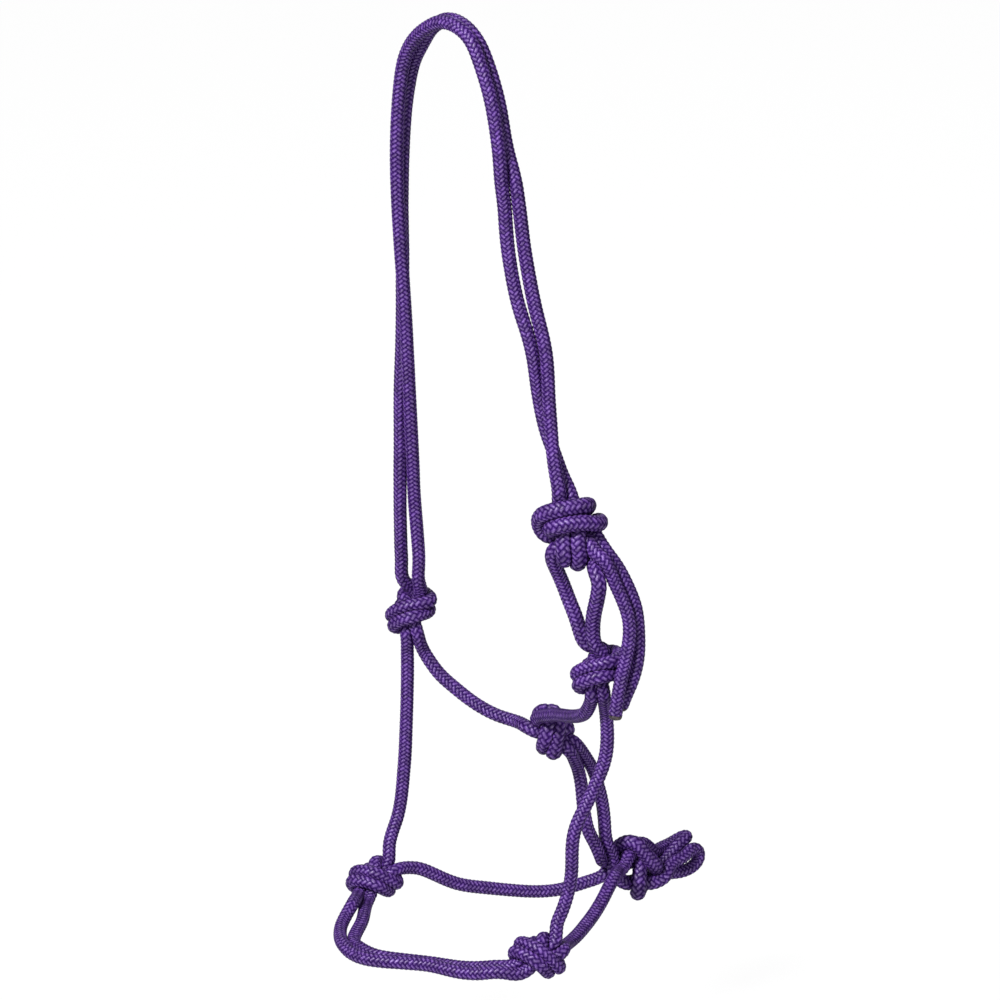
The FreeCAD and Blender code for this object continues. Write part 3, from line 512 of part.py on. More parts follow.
# Throat knot, and the two strands up to it from the fiador knot.
RUNS["throat_knot"] = [
    ("flat", "flat", (0.2007, -0.6332, 0.7475), (0.8000, -0.2840, 0.5286), """
7.16 84.35 86.41 3.17, 7.42 82.88 88.08 3.10, 7.25 81.60 89.44 3.05, 6.73 80.39 90.62 3.00,
5.88 79.20 91.68 2.94, 4.67 77.99 92.65 2.87, 3.08 76.75 93.55 2.85, 1.05 75.52 94.42 2.87,
-1.13 74.47 95.28 2.87, -3.28 73.61 96.37 2.87, -4.89 73.05 97.57 2.88, -6.19 72.68 98.97 2.89,
-7.28 72.47 100.60 2.92, -8.15 72.43 102.42 2.91, -8.70 72.52 104.27 2.87, -8.86 72.67 105.98 2.86,
-8.66 72.81 107.52 2.85, -8.12 72.92 108.89 2.85, -7.28 72.97 110.06 2.85, -6.19 72.96 110.99 2.85,
-4.92 72.86 111.64 2.84, -3.55 72.66 111.97 2.84, -2.16 72.36 111.96 2.83, -0.82 71.96 111.61 2.83,
0.42 71.46 110.92 2.83, 1.54 70.85 109.89 2.84, 2.54 70.12 108.51 2.88, 3.40 69.28 106.73 2.95,
4.04 68.44 104.70 2.96, 4.34 67.81 102.77 2.92, 4.31 67.44 101.01 2.90, 3.98 67.29 99.33 2.91,
3.35 67.38 97.64 2.92, 2.40 67.72 95.86 2.93, 1.16 68.34 94.02 2.93, -0.11 69.17 92.43 2.91,
-1.21 70.09 91.32 2.88, -2.19 71.12 90.59 2.87, -3.09 72.31 90.19 2.87, -3.94 73.71 90.14 2.87,
-4.78 75.36 90.44 2.89, -5.62 77.32 91.12 2.93, -6.39 79.37 92.12 2.91, -6.89 81.06 93.23 2.87,
-7.13 82.35 94.36 2.84, -7.14 83.33 95.57 2.84, -6.93 84.03 96.86 2.83, -6.52 84.45 98.21 2.82,
-5.94 84.55 99.55 2.82, -5.25 84.33 100.82 2.81, -4.51 83.79 101.97 2.81, -3.78 82.94 102.94 2.80,
-3.14 81.78 103.73 2.80, -2.65 80.30 104.34 2.80, -2.41 78.45 104.81 2.81, -2.49 76.08 105.26 2.83,
-2.82 73.58 105.74 2.85, -3.20 71.13 106.38 2.83, -3.35 69.40 107.05 2.83, -3.28 68.02 107.82 2.85,
-2.93 66.84 108.73 2.90, -2.26 65.84 109.75 2.97, -1.21 65.01 110.85 3.08, 0.34 64.30 112.04 3.24"""),
    ("flat", "flat", (-0.0189, -0.7540, 0.6566), (-0.9481, 0.2983, -0.1098), """
4.93 89.66 89.97 3.21, 4.71 87.93 91.36 3.12, 4.17 86.33 92.44 3.01, 3.30 84.79 93.37 2.89,
2.08 83.29 94.28 2.83, 0.51 81.88 95.28 2.83, -1.38 80.59 96.47 2.84, -3.35 79.54 97.77 2.82,
-5.22 78.81 99.20 2.81, -6.56 78.49 100.56 2.80, -7.48 78.40 101.94 2.80, -8.01 78.44 103.38 2.81,
-8.17 78.54 104.84 2.81, -7.97 78.66 106.27 2.82, -7.43 78.75 107.61 2.82, -6.59 78.80 108.78 2.83,
-5.49 78.79 109.72 2.83, -4.21 78.68 110.37 2.84, -2.81 78.49 110.70 2.84, -1.36 78.18 110.69 2.85,
0.09 77.77 110.34 2.86, 1.55 77.22 109.64 2.89, 3.02 76.52 108.58 2.93, 4.47 75.67 107.13 2.94,
5.72 74.77 105.43 2.91, 6.59 73.98 103.66 2.89, 7.09 73.31 101.80 2.90, 7.27 72.71 99.78 2.93,
7.16 72.17 97.50 2.94, 6.77 71.77 95.11 2.92, 6.18 71.66 93.07 2.89, 5.50 71.83 91.46 2.87,
4.74 72.27 90.18 2.86, 3.92 72.96 89.19 2.85, 3.04 73.89 88.49 2.85, 2.13 75.05 88.07 2.85,
1.17 76.47 87.95 2.86, 0.16 78.17 88.14 2.91, -0.89 80.19 88.66 2.94, -1.81 82.21 89.46 2.90,
-2.40 83.84 90.40 2.86, -2.69 85.11 91.44 2.84, -2.72 86.09 92.58 2.84, -2.52 86.79 93.83 2.83,
-2.11 87.19 95.13 2.83, -1.53 87.29 96.43 2.83, -0.83 87.06 97.66 2.83, -0.07 86.52 98.76 2.83,
0.69 85.67 99.67 2.84, 1.37 84.55 100.37 2.84, 1.92 83.18 100.83 2.85, 2.27 81.59 101.06 2.86,
2.36 79.76 101.10 2.88, 2.14 77.67 101.02 2.90, 1.54 75.31 100.90 2.89, 0.60 72.91 100.83 2.88,
-0.60 70.73 100.84 2.87, -1.98 68.90 100.98 2.89, -3.54 67.33 101.31 2.94, -5.29 66.01 101.79 3.05,
-7.03 65.08 102.26 3.26, -8.68 64.55 102.59 3.55, -10.37 64.38 102.77 3.81,
-12.22 64.56 102.77 3.96, -14.46 65.14 102.58"""),
]
RUNS["throat_strand_front"] = [
    ("flat", "flat", (-0.3052, -0.8353, 0.4572), (0.2020, -0.6328, 0.7475), """
-6.57 129.67 -2.75 3.15, -7.25 127.38 -1.56 3.20, -7.34 125.65 -0.74 3.23, -7.03 124.10 -0.03 3.27,
-6.38 122.59 0.70 3.30, -5.36 121.07 1.54 3.34, -3.97 119.49 2.62 3.42, -2.50 117.94 4.04 3.57,
-1.42 116.62 5.57 3.70, -0.68 115.44 7.24 3.81, -0.21 114.32 9.12 3.89, 0.04 113.22 11.38 3.95,
0.08 111.88 14.41 3.99, 0.03 110.00 18.11, 0.00 107.49 22.43, 0.00 105.57 26.30,
0.00 104.16 29.97, 0.00 102.89 34.25, 0.00 101.74 39.27, 0.00 100.78 45.04,
0.00 99.94 52.00, -0.10 98.83 60.78, -0.11 97.99 64.74, 0.08 97.10 67.60 3.99,
0.48 96.04 70.16 3.90, 1.12 94.68 72.67 3.74, 2.13 92.82 75.47 3.62, 3.82 90.05 79.21 3.48,
6.52 85.82 84.63 3.25, 7.16 84.36 86.39 3.17"""),
]
RUNS["throat_strand_rear"] = [
    ("flat", "flat", (-0.0506, -0.4837, 0.8738), (-0.0176, -0.7535, 0.6572), """
-1.22 128.05 -7.95 3.35, -1.21 127.10 -5.98 3.23, -1.03 126.44 -3.92 3.20, -0.77 126.10 -1.70 3.20,
-0.47 125.92 1.16 3.25, -0.30 125.49 4.02 3.39, -0.25 124.75 6.26 3.52, -0.23 123.59 8.68 3.66,
-0.10 121.70 12.23 3.85, 0.02 120.14 15.80 3.97, 0.04 119.22 18.85, 0.02 118.65 21.95,
0.00 118.27 25.84, 0.00 117.53 34.04, 0.00 116.63 39.88, 0.00 115.31 46.13,
0.00 113.70 52.12, -0.05 111.52 58.90, -0.08 109.17 65.11, 0.09 107.68 68.01,
0.45 105.91 70.77, 1.11 103.52 73.94 3.94, 2.46 99.44 79.09 3.65, 4.21 94.11 85.46 3.42,
4.82 91.44 88.30 3.30, 4.93 89.68 89.95 3.21"""),
]


def unit(vector):
    return vector * (1.0 / vector.Length)


def read_stations(table):
    """Centre points and cord radii of one run."""
    points, radii = [], []
    for entry in table.split(","):
        x, y, z, *squeezed = [float(number) for number in entry.split()]
        points.append(FreeCAD.Vector(x, y, z))
        radii.append(squeezed[0] * RADIUS_SCALE if squeezed else RELAXED_RADIUS)
    return points, radii


def path_tangents(points, start_tangent, finish_tangent):
    """Unit tangents; inside the run the nearer neighbour counts for more."""
    tangents = [unit(FreeCAD.Vector(*start_tangent))]
    for i in range(1, len(points) - 1):
        before = points[i] - points[i - 1]
        after = points[i + 1] - points[i]
        ratio = after.Length / before.Length
        tangents.append(unit(before * ratio + after * (before.Length / after.Length)))
    tangents.append(unit(FreeCAD.Vector(*finish_tangent)))
    return tangents


def ring_placements(points, tangents):
    """Placements along a run, turned as little as possible between stations."""
    first = tangents[0]
    upright = abs(first.z) >= 0.8
    reference = FreeCAD.Vector(1, 0, 0) if upright else FreeCAD.Vector(0, 0, 1)
    x = unit(reference.cross(first))
    placements = []
    for i, (point, z) in enumerate(zip(points, tangents)):
        if i:
            x = unit(x - z * x.dot(z))
        y = z.cross(x)
        placements.append(FreeCAD.Placement(FreeCAD.Matrix(
            x.x, y.x, z.x, point.x,
            x.y, y.y, z.y, point.y,
            x.z, y.z, z.z, point.z,
            0, 0, 0, 1)))
    return placements


def ring(radius, placement):
    edge = Part.makeCircle(radius)
    edge.Placement = placement
    return Part.Wire([edge])


def tube_skin(radii, placements):
    """Tube surface, built in short patches that share their end rings."""
    patches = []
    first, last = 0, len(radii) - 1
    while first < last:
        end = min(first + STATIONS_PER_PATCH, last)
        if last - end < MIN_LAST_PATCH:
            end = last
        rings = [ring(radii[k], placements[k]) for k in range(first, end + 1)]
        patches.append(Part.makeLoft(rings, False, True))
        first = end
    return patches


def ball_profile(radius, bore, side):
    """Spherical rim and the flat inside it, in the local x-z plane."""
    height = math.sqrt(radius * radius - bore * bore)
    half = math.atan2(height, bore) / 2.0
    rim = FreeCAD.Vector(bore, 0, side * height)
    middle = FreeCAD.Vector(radius * math.cos(half), 0, side * radius * math.sin(half))
    arc = Part.Arc(FreeCAD.Vector(radius, 0, 0), middle, rim).toShape()
    return [arc, Part.makeLine(FreeCAD.Vector(bore, 0, 0), rim)]


def dome_profile(radius, side):
    """Low arc from the edge to the axis, in the local x-z plane."""
    height = SEALED_END_DOME * radius
    arc_radius = (radius * radius + height ** 2) / (2.0 * height)
    center_z = height - arc_radius
    half = (math.atan2(-center_z, radius) + math.pi / 2.0) / 2.0
    middle = FreeCAD.Vector(arc_radius * math.cos(half), 0,
                            side * (center_z + arc_radius * math.sin(half)))
    return [Part.Arc(FreeCAD.Vector(radius, 0, 0), middle,
                     FreeCAD.Vector(0, 0, side * height)).toShape()]


def end_faces(kind, radius, bore, placement, side):
    """Faces closing one end.  side is +1 where the run ends along local +z."""
    if kind == "flat":
        wires = [ring(radius, placement)]
        if bore:
            wires.append(ring(bore, placement))
        return [Part.makeFace(wires, "Part::FaceMakerBullseye")]
    if kind == "ball":
        profile = ball_profile(radius, bore, side)
    else:
        profile = dome_profile(radius, side)
    faces = []
    for edge in profile:
        face = edge.revolve(FreeCAD.Vector(0, 0, 0), FreeCAD.Vector(0, 0, 1), 360)
        face.Placement = placement
        faces.append(face)
    return faces


def both_ends(start, finish, radii, bores, placements):
    return (end_faces(start, radii[0], bores[0], placements[0], -1)
            + end_faces(finish, radii[-1], bores[-1], placements[-1], 1))


def closed_solid(surfaces):
    shell = Part.makeShell([face for surface in surfaces for face in surface.Faces])
    shell.sewShape(SEWING_TOLERANCE)
    solid = Part.makeSolid(shell.Shells[0])
    if solid.Volume < 0:
        solid.reverse()
    return solid


def core_solid(start, finish, points, tangents, radii):
    """Flat-ended core, carried on into the ball ends."""
    points, tangents = list(points), list(tangents)
    radii = [radius * CORE_RATIO for radius in radii]
    if start == "ball":
        points.insert(0, points[0] - tangents[0] * HINGE_CORE_REACH)
        tangents.insert(0, tangents[0])
        radii.insert(0, radii[0])
    if finish == "ball":
        points.append(points[-1] + tangents[-1] * HINGE_CORE_REACH)
        tangents.append(tangents[-1])
        radii.append(radii[-1])
    placements = ring_placements(points, tangents)
    return closed_solid(tube_skin(radii, placements)
                        + both_ends("flat", "flat", radii, [0, 0], placements))


def sheath_and_core(start, finish, start_tangent, finish_tangent, table):
    """Solids of one run; a sealed end is solid throughout and has no core."""
    points, radii = read_stations(table)
    tangents = path_tangents(points, start_tangent, finish_tangent)
    placements = ring_placements(points, tangents)
    outer = tube_skin(radii, placements)
    if "dome" in (start, finish):
        return closed_solid(outer + both_ends(start, finish, radii, [0, 0], placements)), None
    bores = [radius * CORE_RATIO + CORE_CLEARANCE for radius in radii]
    sheath = closed_solid(outer + tube_skin(bores, placements)
                          + both_ends(start, finish, radii, bores, placements))
    return sheath, core_solid(start, finish, points, tangents, radii)


def export(name, solids):
    shape = solids[0] if len(solids) == 1 else Part.makeCompound(solids)
    shape.exportStep("parts/" + name + ".step")


os.makedirs("parts", exist_ok=True)
for name, runs in RUNS.items():
    pairs = [sheath_and_core(*run) for run in runs]
    export(name, [sheath for sheath, core in pairs])
    cores = [core for sheath, core in pairs if core]
    if cores:
        export(name + "_core", cores)
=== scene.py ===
# Rope halter, the looks.  The cord's centre line is a table of points; the braid,
# the squeezed cord inside the knots and the cut into pieces are worked out from it.
import bpy
import math
import numpy as np
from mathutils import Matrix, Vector


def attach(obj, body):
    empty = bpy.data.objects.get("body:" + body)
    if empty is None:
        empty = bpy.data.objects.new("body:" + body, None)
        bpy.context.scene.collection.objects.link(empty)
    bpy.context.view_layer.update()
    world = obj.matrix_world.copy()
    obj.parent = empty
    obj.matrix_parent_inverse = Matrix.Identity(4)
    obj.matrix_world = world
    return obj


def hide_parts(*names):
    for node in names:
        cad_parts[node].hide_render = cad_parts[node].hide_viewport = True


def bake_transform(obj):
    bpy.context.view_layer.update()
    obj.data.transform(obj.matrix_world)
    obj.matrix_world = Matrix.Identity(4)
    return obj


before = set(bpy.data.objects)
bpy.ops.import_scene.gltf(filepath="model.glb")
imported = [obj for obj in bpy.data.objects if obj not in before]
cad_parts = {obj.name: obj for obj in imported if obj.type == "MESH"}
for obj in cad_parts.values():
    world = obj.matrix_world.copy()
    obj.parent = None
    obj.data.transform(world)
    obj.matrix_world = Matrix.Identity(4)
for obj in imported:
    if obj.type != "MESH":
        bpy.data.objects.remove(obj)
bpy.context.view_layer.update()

# ------------------------------------------------------------------ the cord
# (distance along the cord, x, y, z) in millimetres
LINE = [
    0.00,103.18,38.70,154.20, 8.99,105.29,40.76,162.66, 17.97,106.83,43.88,170.95, 26.96,107.60,46.64,179.45, 35.94,107.41,48.56,188.22,
    44.93,106.70,49.36,197.13, 53.91,105.29,49.94,205.99, 62.90,103.36,49.76,214.75, 71.88,100.97,48.08,223.23, 80.87,98.06,45.77,231.42,
    89.85,94.47,43.18,239.23, 98.84,90.02,39.85,246.27, 106.78,84.88,37.99,252.00, 115.76,78.87,36.74,258.53, 118.93,77.01,35.27,260.62,
    121.41,75.60,33.60,261.77, 123.77,74.28,31.73,262.30, 126.64,72.69,29.34,262.25, 132.19,69.53,24.87,261.33, 137.66,67.55,19.88,260.75,
    139.50,67.61,18.05,260.91, 141.26,68.08,16.41,261.28, 143.02,68.92,14.96,261.83, 144.80,70.07,13.80,262.52, 146.59,71.49,13.02,263.29,
    148.44,73.11,12.66,264.09, 150.44,74.94,12.77,264.89, 152.72,76.95,13.44,265.71, 155.46,79.15,14.84,266.53, 159.00,81.57,17.29,267.33,
    164.03,84.39,21.41,267.84, 170.00,86.85,26.80,267.40, 173.71,87.41,30.36,266.55, 176.95,87.04,33.42,265.58, 180.26,85.85,36.34,264.61,
    183.59,83.93,38.97,263.95, 187.04,81.31,41.17,263.54, 189.70,78.98,42.29,262.99, 191.69,77.18,42.66,262.23, 193.58,75.58,42.59,261.23,
    195.64,74.09,42.11,259.91, 198.09,72.69,41.13,258.15, 201.05,71.58,39.57,255.89, 204.52,71.08,37.56,253.12, 209.34,71.21,35.16,248.95,
    217.12,72.87,31.67,242.35, 219.02,74.00,30.51,241.35, 220.93,75.37,29.31,240.78, 222.90,76.92,28.11,240.67, 224.86,78.51,27.04,241.05,
    226.79,80.00,26.15,241.89, 228.71,81.28,25.47,243.13, 230.68,82.26,24.94,244.75, 232.82,82.85,24.48,246.76, 235.57,82.95,23.94,249.45,
    240.00,82.37,23.43,253.80, 243.33,81.63,23.92,257.00, 248.09,80.08,25.34,261.27, 254.76,77.41,26.25,267.29, 263.74,73.89,26.98,275.52,
    272.73,70.31,26.77,283.70, 281.71,66.28,25.39,291.61, 290.70,63.12,23.98,299.90, 299.68,60.35,22.31,308.28, 308.67,58.16,20.41,316.78,
    317.65,56.85,18.72,325.50, 326.64,56.05,17.17,334.32, 335.62,55.73,15.59,343.16, 344.61,55.85,14.00,352.00, 353.59,55.81,12.48,360.85,
    362.58,54.83,11.04,369.66, 371.57,52.70,9.71,378.28, 380.55,50.00,8.38,386.75, 389.54,47.67,7.16,395.34, 398.52,45.96,6.10,404.09,
    407.51,44.60,5.17,412.93, 416.49,43.59,4.30,421.81, 425.48,43.01,3.48,430.74, 434.46,42.85,2.73,439.69, 443.45,42.89,1.95,448.64,
    452.43,42.78,0.74,457.54, 461.42,42.95,-0.76,466.40, 470.40,43.31,-1.86,475.31, 479.39,43.14,-2.65,484.26, 488.37,42.53,-3.52,493.18,
    497.36,41.61,-4.45,502.07, 506.35,40.16,-5.36,510.89, 515.33,37.92,-6.26,519.54, 524.32,34.96,-7.15,527.97, 533.30,31.50,-8.00,536.22,
    542.29,27.04,-8.73,543.96, 547.42,23.29,-9.13,547.43, 553.07,18.34,-9.54,550.08, 559.98,11.68,-9.92,551.80, 567.60,4.08,-10.04,551.81,
    574.82,-2.89,-9.91,550.00, 583.80,-10.95,-9.49,546.08, 592.79,-18.53,-8.98,541.28, 601.77,-25.44,-8.32,535.59, 610.76,-31.36,-7.58,528.88,
    619.75,-35.97,-6.83,521.22, 628.73,-39.42,-5.93,512.98, 637.72,-42.22,-4.97,504.49, 646.70,-44.69,-3.98,495.91, 655.69,-46.86,-2.98,487.25,
    664.67,-48.71,-1.98,478.51, 673.66,-50.33,-0.98,469.73, 682.64,-51.78,0.04,460.92, 691.63,-53.04,1.08,452.09, 700.61,-54.11,2.14,443.23,
    709.60,-55.04,3.21,434.36, 718.58,-55.80,4.27,425.47, 727.57,-56.40,5.34,416.57, 736.55,-56.94,6.42,407.66, 745.54,-57.51,7.52,398.76,
    754.53,-58.14,8.69,389.88, 763.51,-58.79,9.89,380.99, 772.50,-59.44,11.09,372.11, 781.48,-60.14,12.29,363.24, 790.47,-60.99,13.49,354.37,
    799.45,-61.92,14.70,345.52, 808.44,-62.90,15.94,336.67, 817.42,-63.93,17.26,327.84, 826.41,-65.03,18.61,319.03, 835.39,-66.18,19.96,310.22,
    844.38,-67.26,21.25,301.39, 853.36,-68.27,22.48,292.55, 862.35,-69.25,23.69,283.70, 871.34,-70.27,24.95,274.86, 880.32,-71.43,26.34,266.06,
    889.31,-72.82,27.87,257.32, 898.29,-74.26,29.32,248.57, 907.28,-75.31,30.65,239.75, 916.26,-75.58,31.58,230.82, 925.25,-75.21,32.16,221.86,
    934.23,-74.85,32.68,212.90, 943.22,-74.59,33.17,203.93, 952.20,-74.97,33.47,194.96, 961.19,-76.32,34.29,186.16, 965.69,-77.56,36.11,182.25,
    970.92,-79.01,38.03,177.63, 974.72,-79.70,38.15,173.90, 983.71,-80.87,37.79,165.01, 989.86,-82.72,37.19,159.20, 993.44,-84.57,36.26,156.29,
    995.85,-86.03,35.23,154.68, 997.71,-87.16,34.09,153.75, 999.40,-88.05,32.77,153.19, 1001.05,-88.71,31.28,152.96, 1002.70,-89.07,29.67,153.03,
    1004.36,-89.12,28.05,153.38, 1006.02,-88.83,26.54,153.97, 1007.67,-88.21,25.22,154.75, 1009.38,-87.28,24.16,155.71, 1011.30,-85.95,23.43,156.88,
    1013.75,-84.03,23.15,158.37, 1017.51,-80.97,23.69,160.47, 1022.21,-77.23,25.37,162.73, 1024.37,-75.70,26.64,163.56, 1026.29,-74.63,28.14,164.08,
    1028.50,-73.87,30.19,164.40, 1031.70,-73.54,33.36,164.47, 1036.45,-74.14,38.07,164.32, 1039.16,-75.13,40.58,164.26, 1041.36,-76.44,42.34,164.26,
    1043.86,-78.44,43.83,164.34, 1047.49,-81.80,45.16,164.55, 1052.13,-86.36,45.81,164.95, 1054.49,-88.68,45.54,165.20, 1056.30,-90.37,44.90,165.40,
    1057.99,-91.73,43.92,165.56, 1059.68,-92.79,42.61,165.67, 1061.43,-93.50,41.02,165.72, 1063.23,-93.79,39.24,165.68, 1065.08,-93.61,37.41,165.52,
    1067.02,-92.96,35.61,165.21, 1069.14,-91.80,33.94,164.64, 1071.64,-90.13,32.43,163.58, 1075.11,-87.78,31.02,161.47, 1081.91,-83.65,29.43,156.32,
    1085.58,-81.94,29.02,153.10, 1088.16,-81.37,29.03,150.60, 1091.48,-81.51,29.43,147.31, 1100.47,-83.11,30.80,138.59, 1107.46,-83.01,30.76,131.61,
    1116.44,-82.46,30.22,122.66, 1125.43,-81.99,29.60,113.71, 1134.42,-81.53,28.89,104.76, 1143.40,-81.06,28.09,95.83, 1152.39,-80.59,27.24,86.89,
    1161.37,-80.12,26.38,77.96, 1170.36,-79.66,25.28,69.06, 1179.34,-79.20,23.93,60.19, 1188.33,-78.73,22.49,51.33, 1197.31,-78.27,20.56,42.57,
    1206.30,-77.83,17.61,34.10, 1215.28,-77.45,13.55,26.10, 1224.27,-76.08,9.97,18.03, 1233.25,-74.19,7.57,9.62, 1237.04,-74.65,5.96,6.24,
    1242.83,-76.63,3.03,1.67, 1247.89,-79.10,0.09,-1.60, 1250.01,-80.42,-1.31,-2.48, 1251.87,-81.66,-2.66,-2.81, 1253.67,-82.78,-4.06,-2.68,
    1255.46,-83.70,-5.49,-2.14, 1257.24,-84.32,-6.90,-1.25, 1258.99,-84.57,-8.20,-0.12, 1260.69,-84.45,-9.34,1.14, 1262.38,-83.94,-10.26,2.45,
    1264.11,-83.05,-10.95,3.76, 1266.03,-81.69,-11.36,5.05, 1268.42,-79.65,-11.39,6.27, 1271.91,-76.39,-10.78,7.36, 1276.60,-72.01,-9.26,7.93,
    1279.45,-69.53,-7.89,7.73, 1282.42,-67.35,-6.04,6.93, 1286.97,-64.89,-2.81,4.91, 1291.58,-63.24,0.64,2.35, 1293.74,-63.00,2.36,1.08,
    1295.54,-63.22,3.84,0.09, 1297.23,-63.83,5.22,-0.68, 1299.00,-64.84,6.56,-1.22, 1301.05,-66.38,7.88,-1.44, 1303.82,-68.79,9.19,-1.14,
    1308.28,-72.86,10.43,0.17, 1311.87,-76.10,10.78,1.64, 1313.86,-77.80,10.57,2.66, 1315.57,-79.08,10.03,3.65, 1317.24,-80.07,9.17,4.68,
    1318.90,-80.72,8.03,5.70, 1320.56,-81.01,6.70,6.64, 1322.19,-80.92,5.27,7.41, 1323.81,-80.47,3.82,7.98, 1325.53,-79.66,2.34,8.26,
    1327.52,-78.40,0.81,8.14, 1330.19,-76.53,-0.88,7.28, 1334.32,-73.92,-3.08,4.98, 1340.76,-71.03,-6.53,0.39, 1349.75,-68.24,-11.91,-6.22,
    1352.52,-67.18,-13.95,-7.76, 1354.95,-65.94,-15.87,-8.57, 1358.15,-63.91,-18.31,-8.77, 1365.79,-58.34,-23.42,-7.66, 1374.78,-51.68,-29.39,-6.89,
    1383.76,-45.22,-35.63,-7.16, 1392.75,-39.55,-42.55,-7.93, 1401.73,-34.26,-49.75,-8.79, 1410.72,-28.02,-56.18,-9.13, 1417.06,-22.62,-59.45,-8.88,
    1424.56,-15.50,-61.63,-8.11, 1432.08,-8.02,-62.14,-7.98, 1438.69,-1.54,-61.00,-8.28, 1444.86,3.99,-58.30,-8.52, 1453.84,11.27,-53.05,-8.81,
    1462.83,18.39,-47.57,-9.08, 1471.81,25.72,-42.38,-9.15, 1480.80,33.77,-38.45,-8.74, 1489.78,42.23,-35.56,-7.84, 1498.77,50.46,-32.15,-6.68,
    1507.75,58.23,-27.94,-5.09, 1516.74,65.57,-23.09,-3.37, 1525.29,71.53,-17.00,-2.81, 1528.22,73.24,-14.73,-2.12, 1530.75,74.28,-12.69,-1.06,
    1533.93,74.75,-10.09,0.67, 1539.37,74.05,-5.69,3.78, 1542.55,73.06,-3.10,5.33, 1544.50,72.22,-1.45,5.95, 1546.21,71.38,0.02,6.11,
    1547.86,70.62,1.45,5.85, 1549.51,70.01,2.85,5.20, 1551.18,69.66,4.14,4.21, 1552.85,69.62,5.26,2.98, 1554.52,69.91,6.15,1.60,
    1556.29,70.55,6.77,0.08, 1558.38,71.71,7.02,-1.63, 1561.33,73.81,6.66,-3.66, 1566.36,77.88,5.08,-6.15, 1569.64,80.63,3.69,-7.23,
    1571.59,82.25,2.65,-7.52, 1573.47,83.69,1.45,-7.38, 1575.77,85.12,-0.17,-6.62, 1579.28,86.54,-2.67,-4.62, 1584.48,87.51,-6.24,-0.99,
    1586.78,87.43,-7.80,0.70, 1588.66,86.95,-9.02,2.04, 1590.69,85.93,-10.20,3.33, 1593.40,83.89,-11.42,4.62, 1597.75,79.92,-12.70,5.82,
    1601.52,76.25,-13.37,6.21, 1603.62,74.16,-13.49,6.04, 1605.37,72.47,-13.39,5.58, 1607.03,71.03,-13.06,4.85, 1608.67,69.84,-12.53,3.85,
    1610.31,68.98,-11.82,2.65, 1611.93,68.51,-10.99,1.34, 1613.54,68.44,-10.08,0.02, 1615.18,68.79,-9.11,-1.25, 1616.97,69.62,-8.04,-2.42,
    1619.13,71.10,-6.83,-3.39, 1622.00,73.48,-5.32,-3.91, 1625.96,76.79,-3.22,-3.52, 1631.77,81.00,0.31,-1.66, 1636.99,83.90,4.13,0.37,
    1639.66,84.84,6.41,1.37, 1641.64,85.13,8.24,2.06, 1643.49,84.98,10.00,2.60, 1645.50,84.30,11.86,2.97, 1648.06,82.86,13.95,2.99,
    1652.07,80.01,16.61,2.08, 1661.06,73.54,21.75,-1.43, 1670.04,67.37,27.29,-4.89, 1679.03,61.29,33.04,-8.17, 1688.01,55.62,39.45,-10.84,
    1695.74,51.70,45.99,-11.94, 1704.72,47.81,54.09,-12.01, 1713.71,43.75,62.09,-11.53, 1722.69,39.67,70.05,-10.64, 1731.68,35.62,77.96,-9.36,
    1740.66,31.62,85.77,-7.41, 1749.65,27.73,93.36,-4.61, 1758.63,24.00,100.73,-1.06, 1767.62,19.93,108.30,1.41, 1772.73,16.91,112.41,1.30,
    1781.72,10.99,118.86,-0.69, 1787.71,7.46,123.49,-2.02, 1791.02,6.10,126.49,-2.22, 1794.31,4.84,129.45,-1.60, 1801.53,1.75,135.16,1.56,
    1808.65,-1.17,141.32,3.55, 1817.64,-4.23,149.63,4.76, 1820.84,-4.99,152.67,4.10, 1824.54,-5.48,155.91,2.42, 1833.21,-5.87,162.49,-3.19,
    1836.08,-6.38,164.97,-4.53, 1840.14,-7.68,168.71,-5.34, 1845.20,-9.10,173.55,-5.37, 1850.91,-9.19,179.23,-4.90, 1859.90,-8.35,187.85,-2.76,
    1861.50,-7.49,189.01,-2.08, 1863.09,-6.22,189.64,-1.37, 1864.69,-4.76,189.55,-0.75, 1866.29,-3.43,188.77,-0.37, 1867.97,-2.38,187.47,-0.23,
    1870.28,-1.58,185.33,-0.45, 1873.85,-1.28,181.96,-1.55, 1879.87,-1.32,176.94,-4.85, 1888.86,-2.64,170.13,-10.50, 1897.84,-4.96,163.05,-15.42,
    1903.56,-4.35,158.44,-18.73, 1911.51,-2.19,151.54,-21.98, 1917.17,0.26,146.71,-23.59, 1919.27,1.47,145.01,-23.79, 1921.25,2.75,143.52,-23.54,
    1923.28,4.09,142.20,-22.79, 1925.37,5.37,141.12,-21.55, 1927.54,6.43,140.30,-19.85, 1929.91,7.16,139.78,-17.66, 1932.57,7.42,139.67,-15.03,
    1935.42,7.20,140.13,-12.23, 1938.30,6.55,141.17,-9.63, 1940.79,5.58,142.37,-7.68, 1942.69,4.53,143.32,-6.42, 1944.28,3.40,144.02,-5.54,
    1945.88,2.04,144.52,-4.85, 1947.48,0.52,144.71,-4.42, 1949.08,-1.05,144.53,-4.26, 1950.67,-2.53,143.95,-4.38, 1952.38,-3.86,142.94,-4.72,
    1954.23,-4.92,141.50,-5.17, 1956.30,-5.59,139.60,-5.58, 1958.78,-5.80,137.13,-5.66, 1961.58,-5.68,134.41,-5.08, 1965.31,-6.09,131.06,-3.52,
    1969.02,-7.13,127.93,-1.83, 1971.28,-7.35,125.90,-0.86, 1974.01,-6.81,123.49,0.26, 1978.16,-4.76,120.35,2.00, 1982.45,-2.29,117.70,4.29,
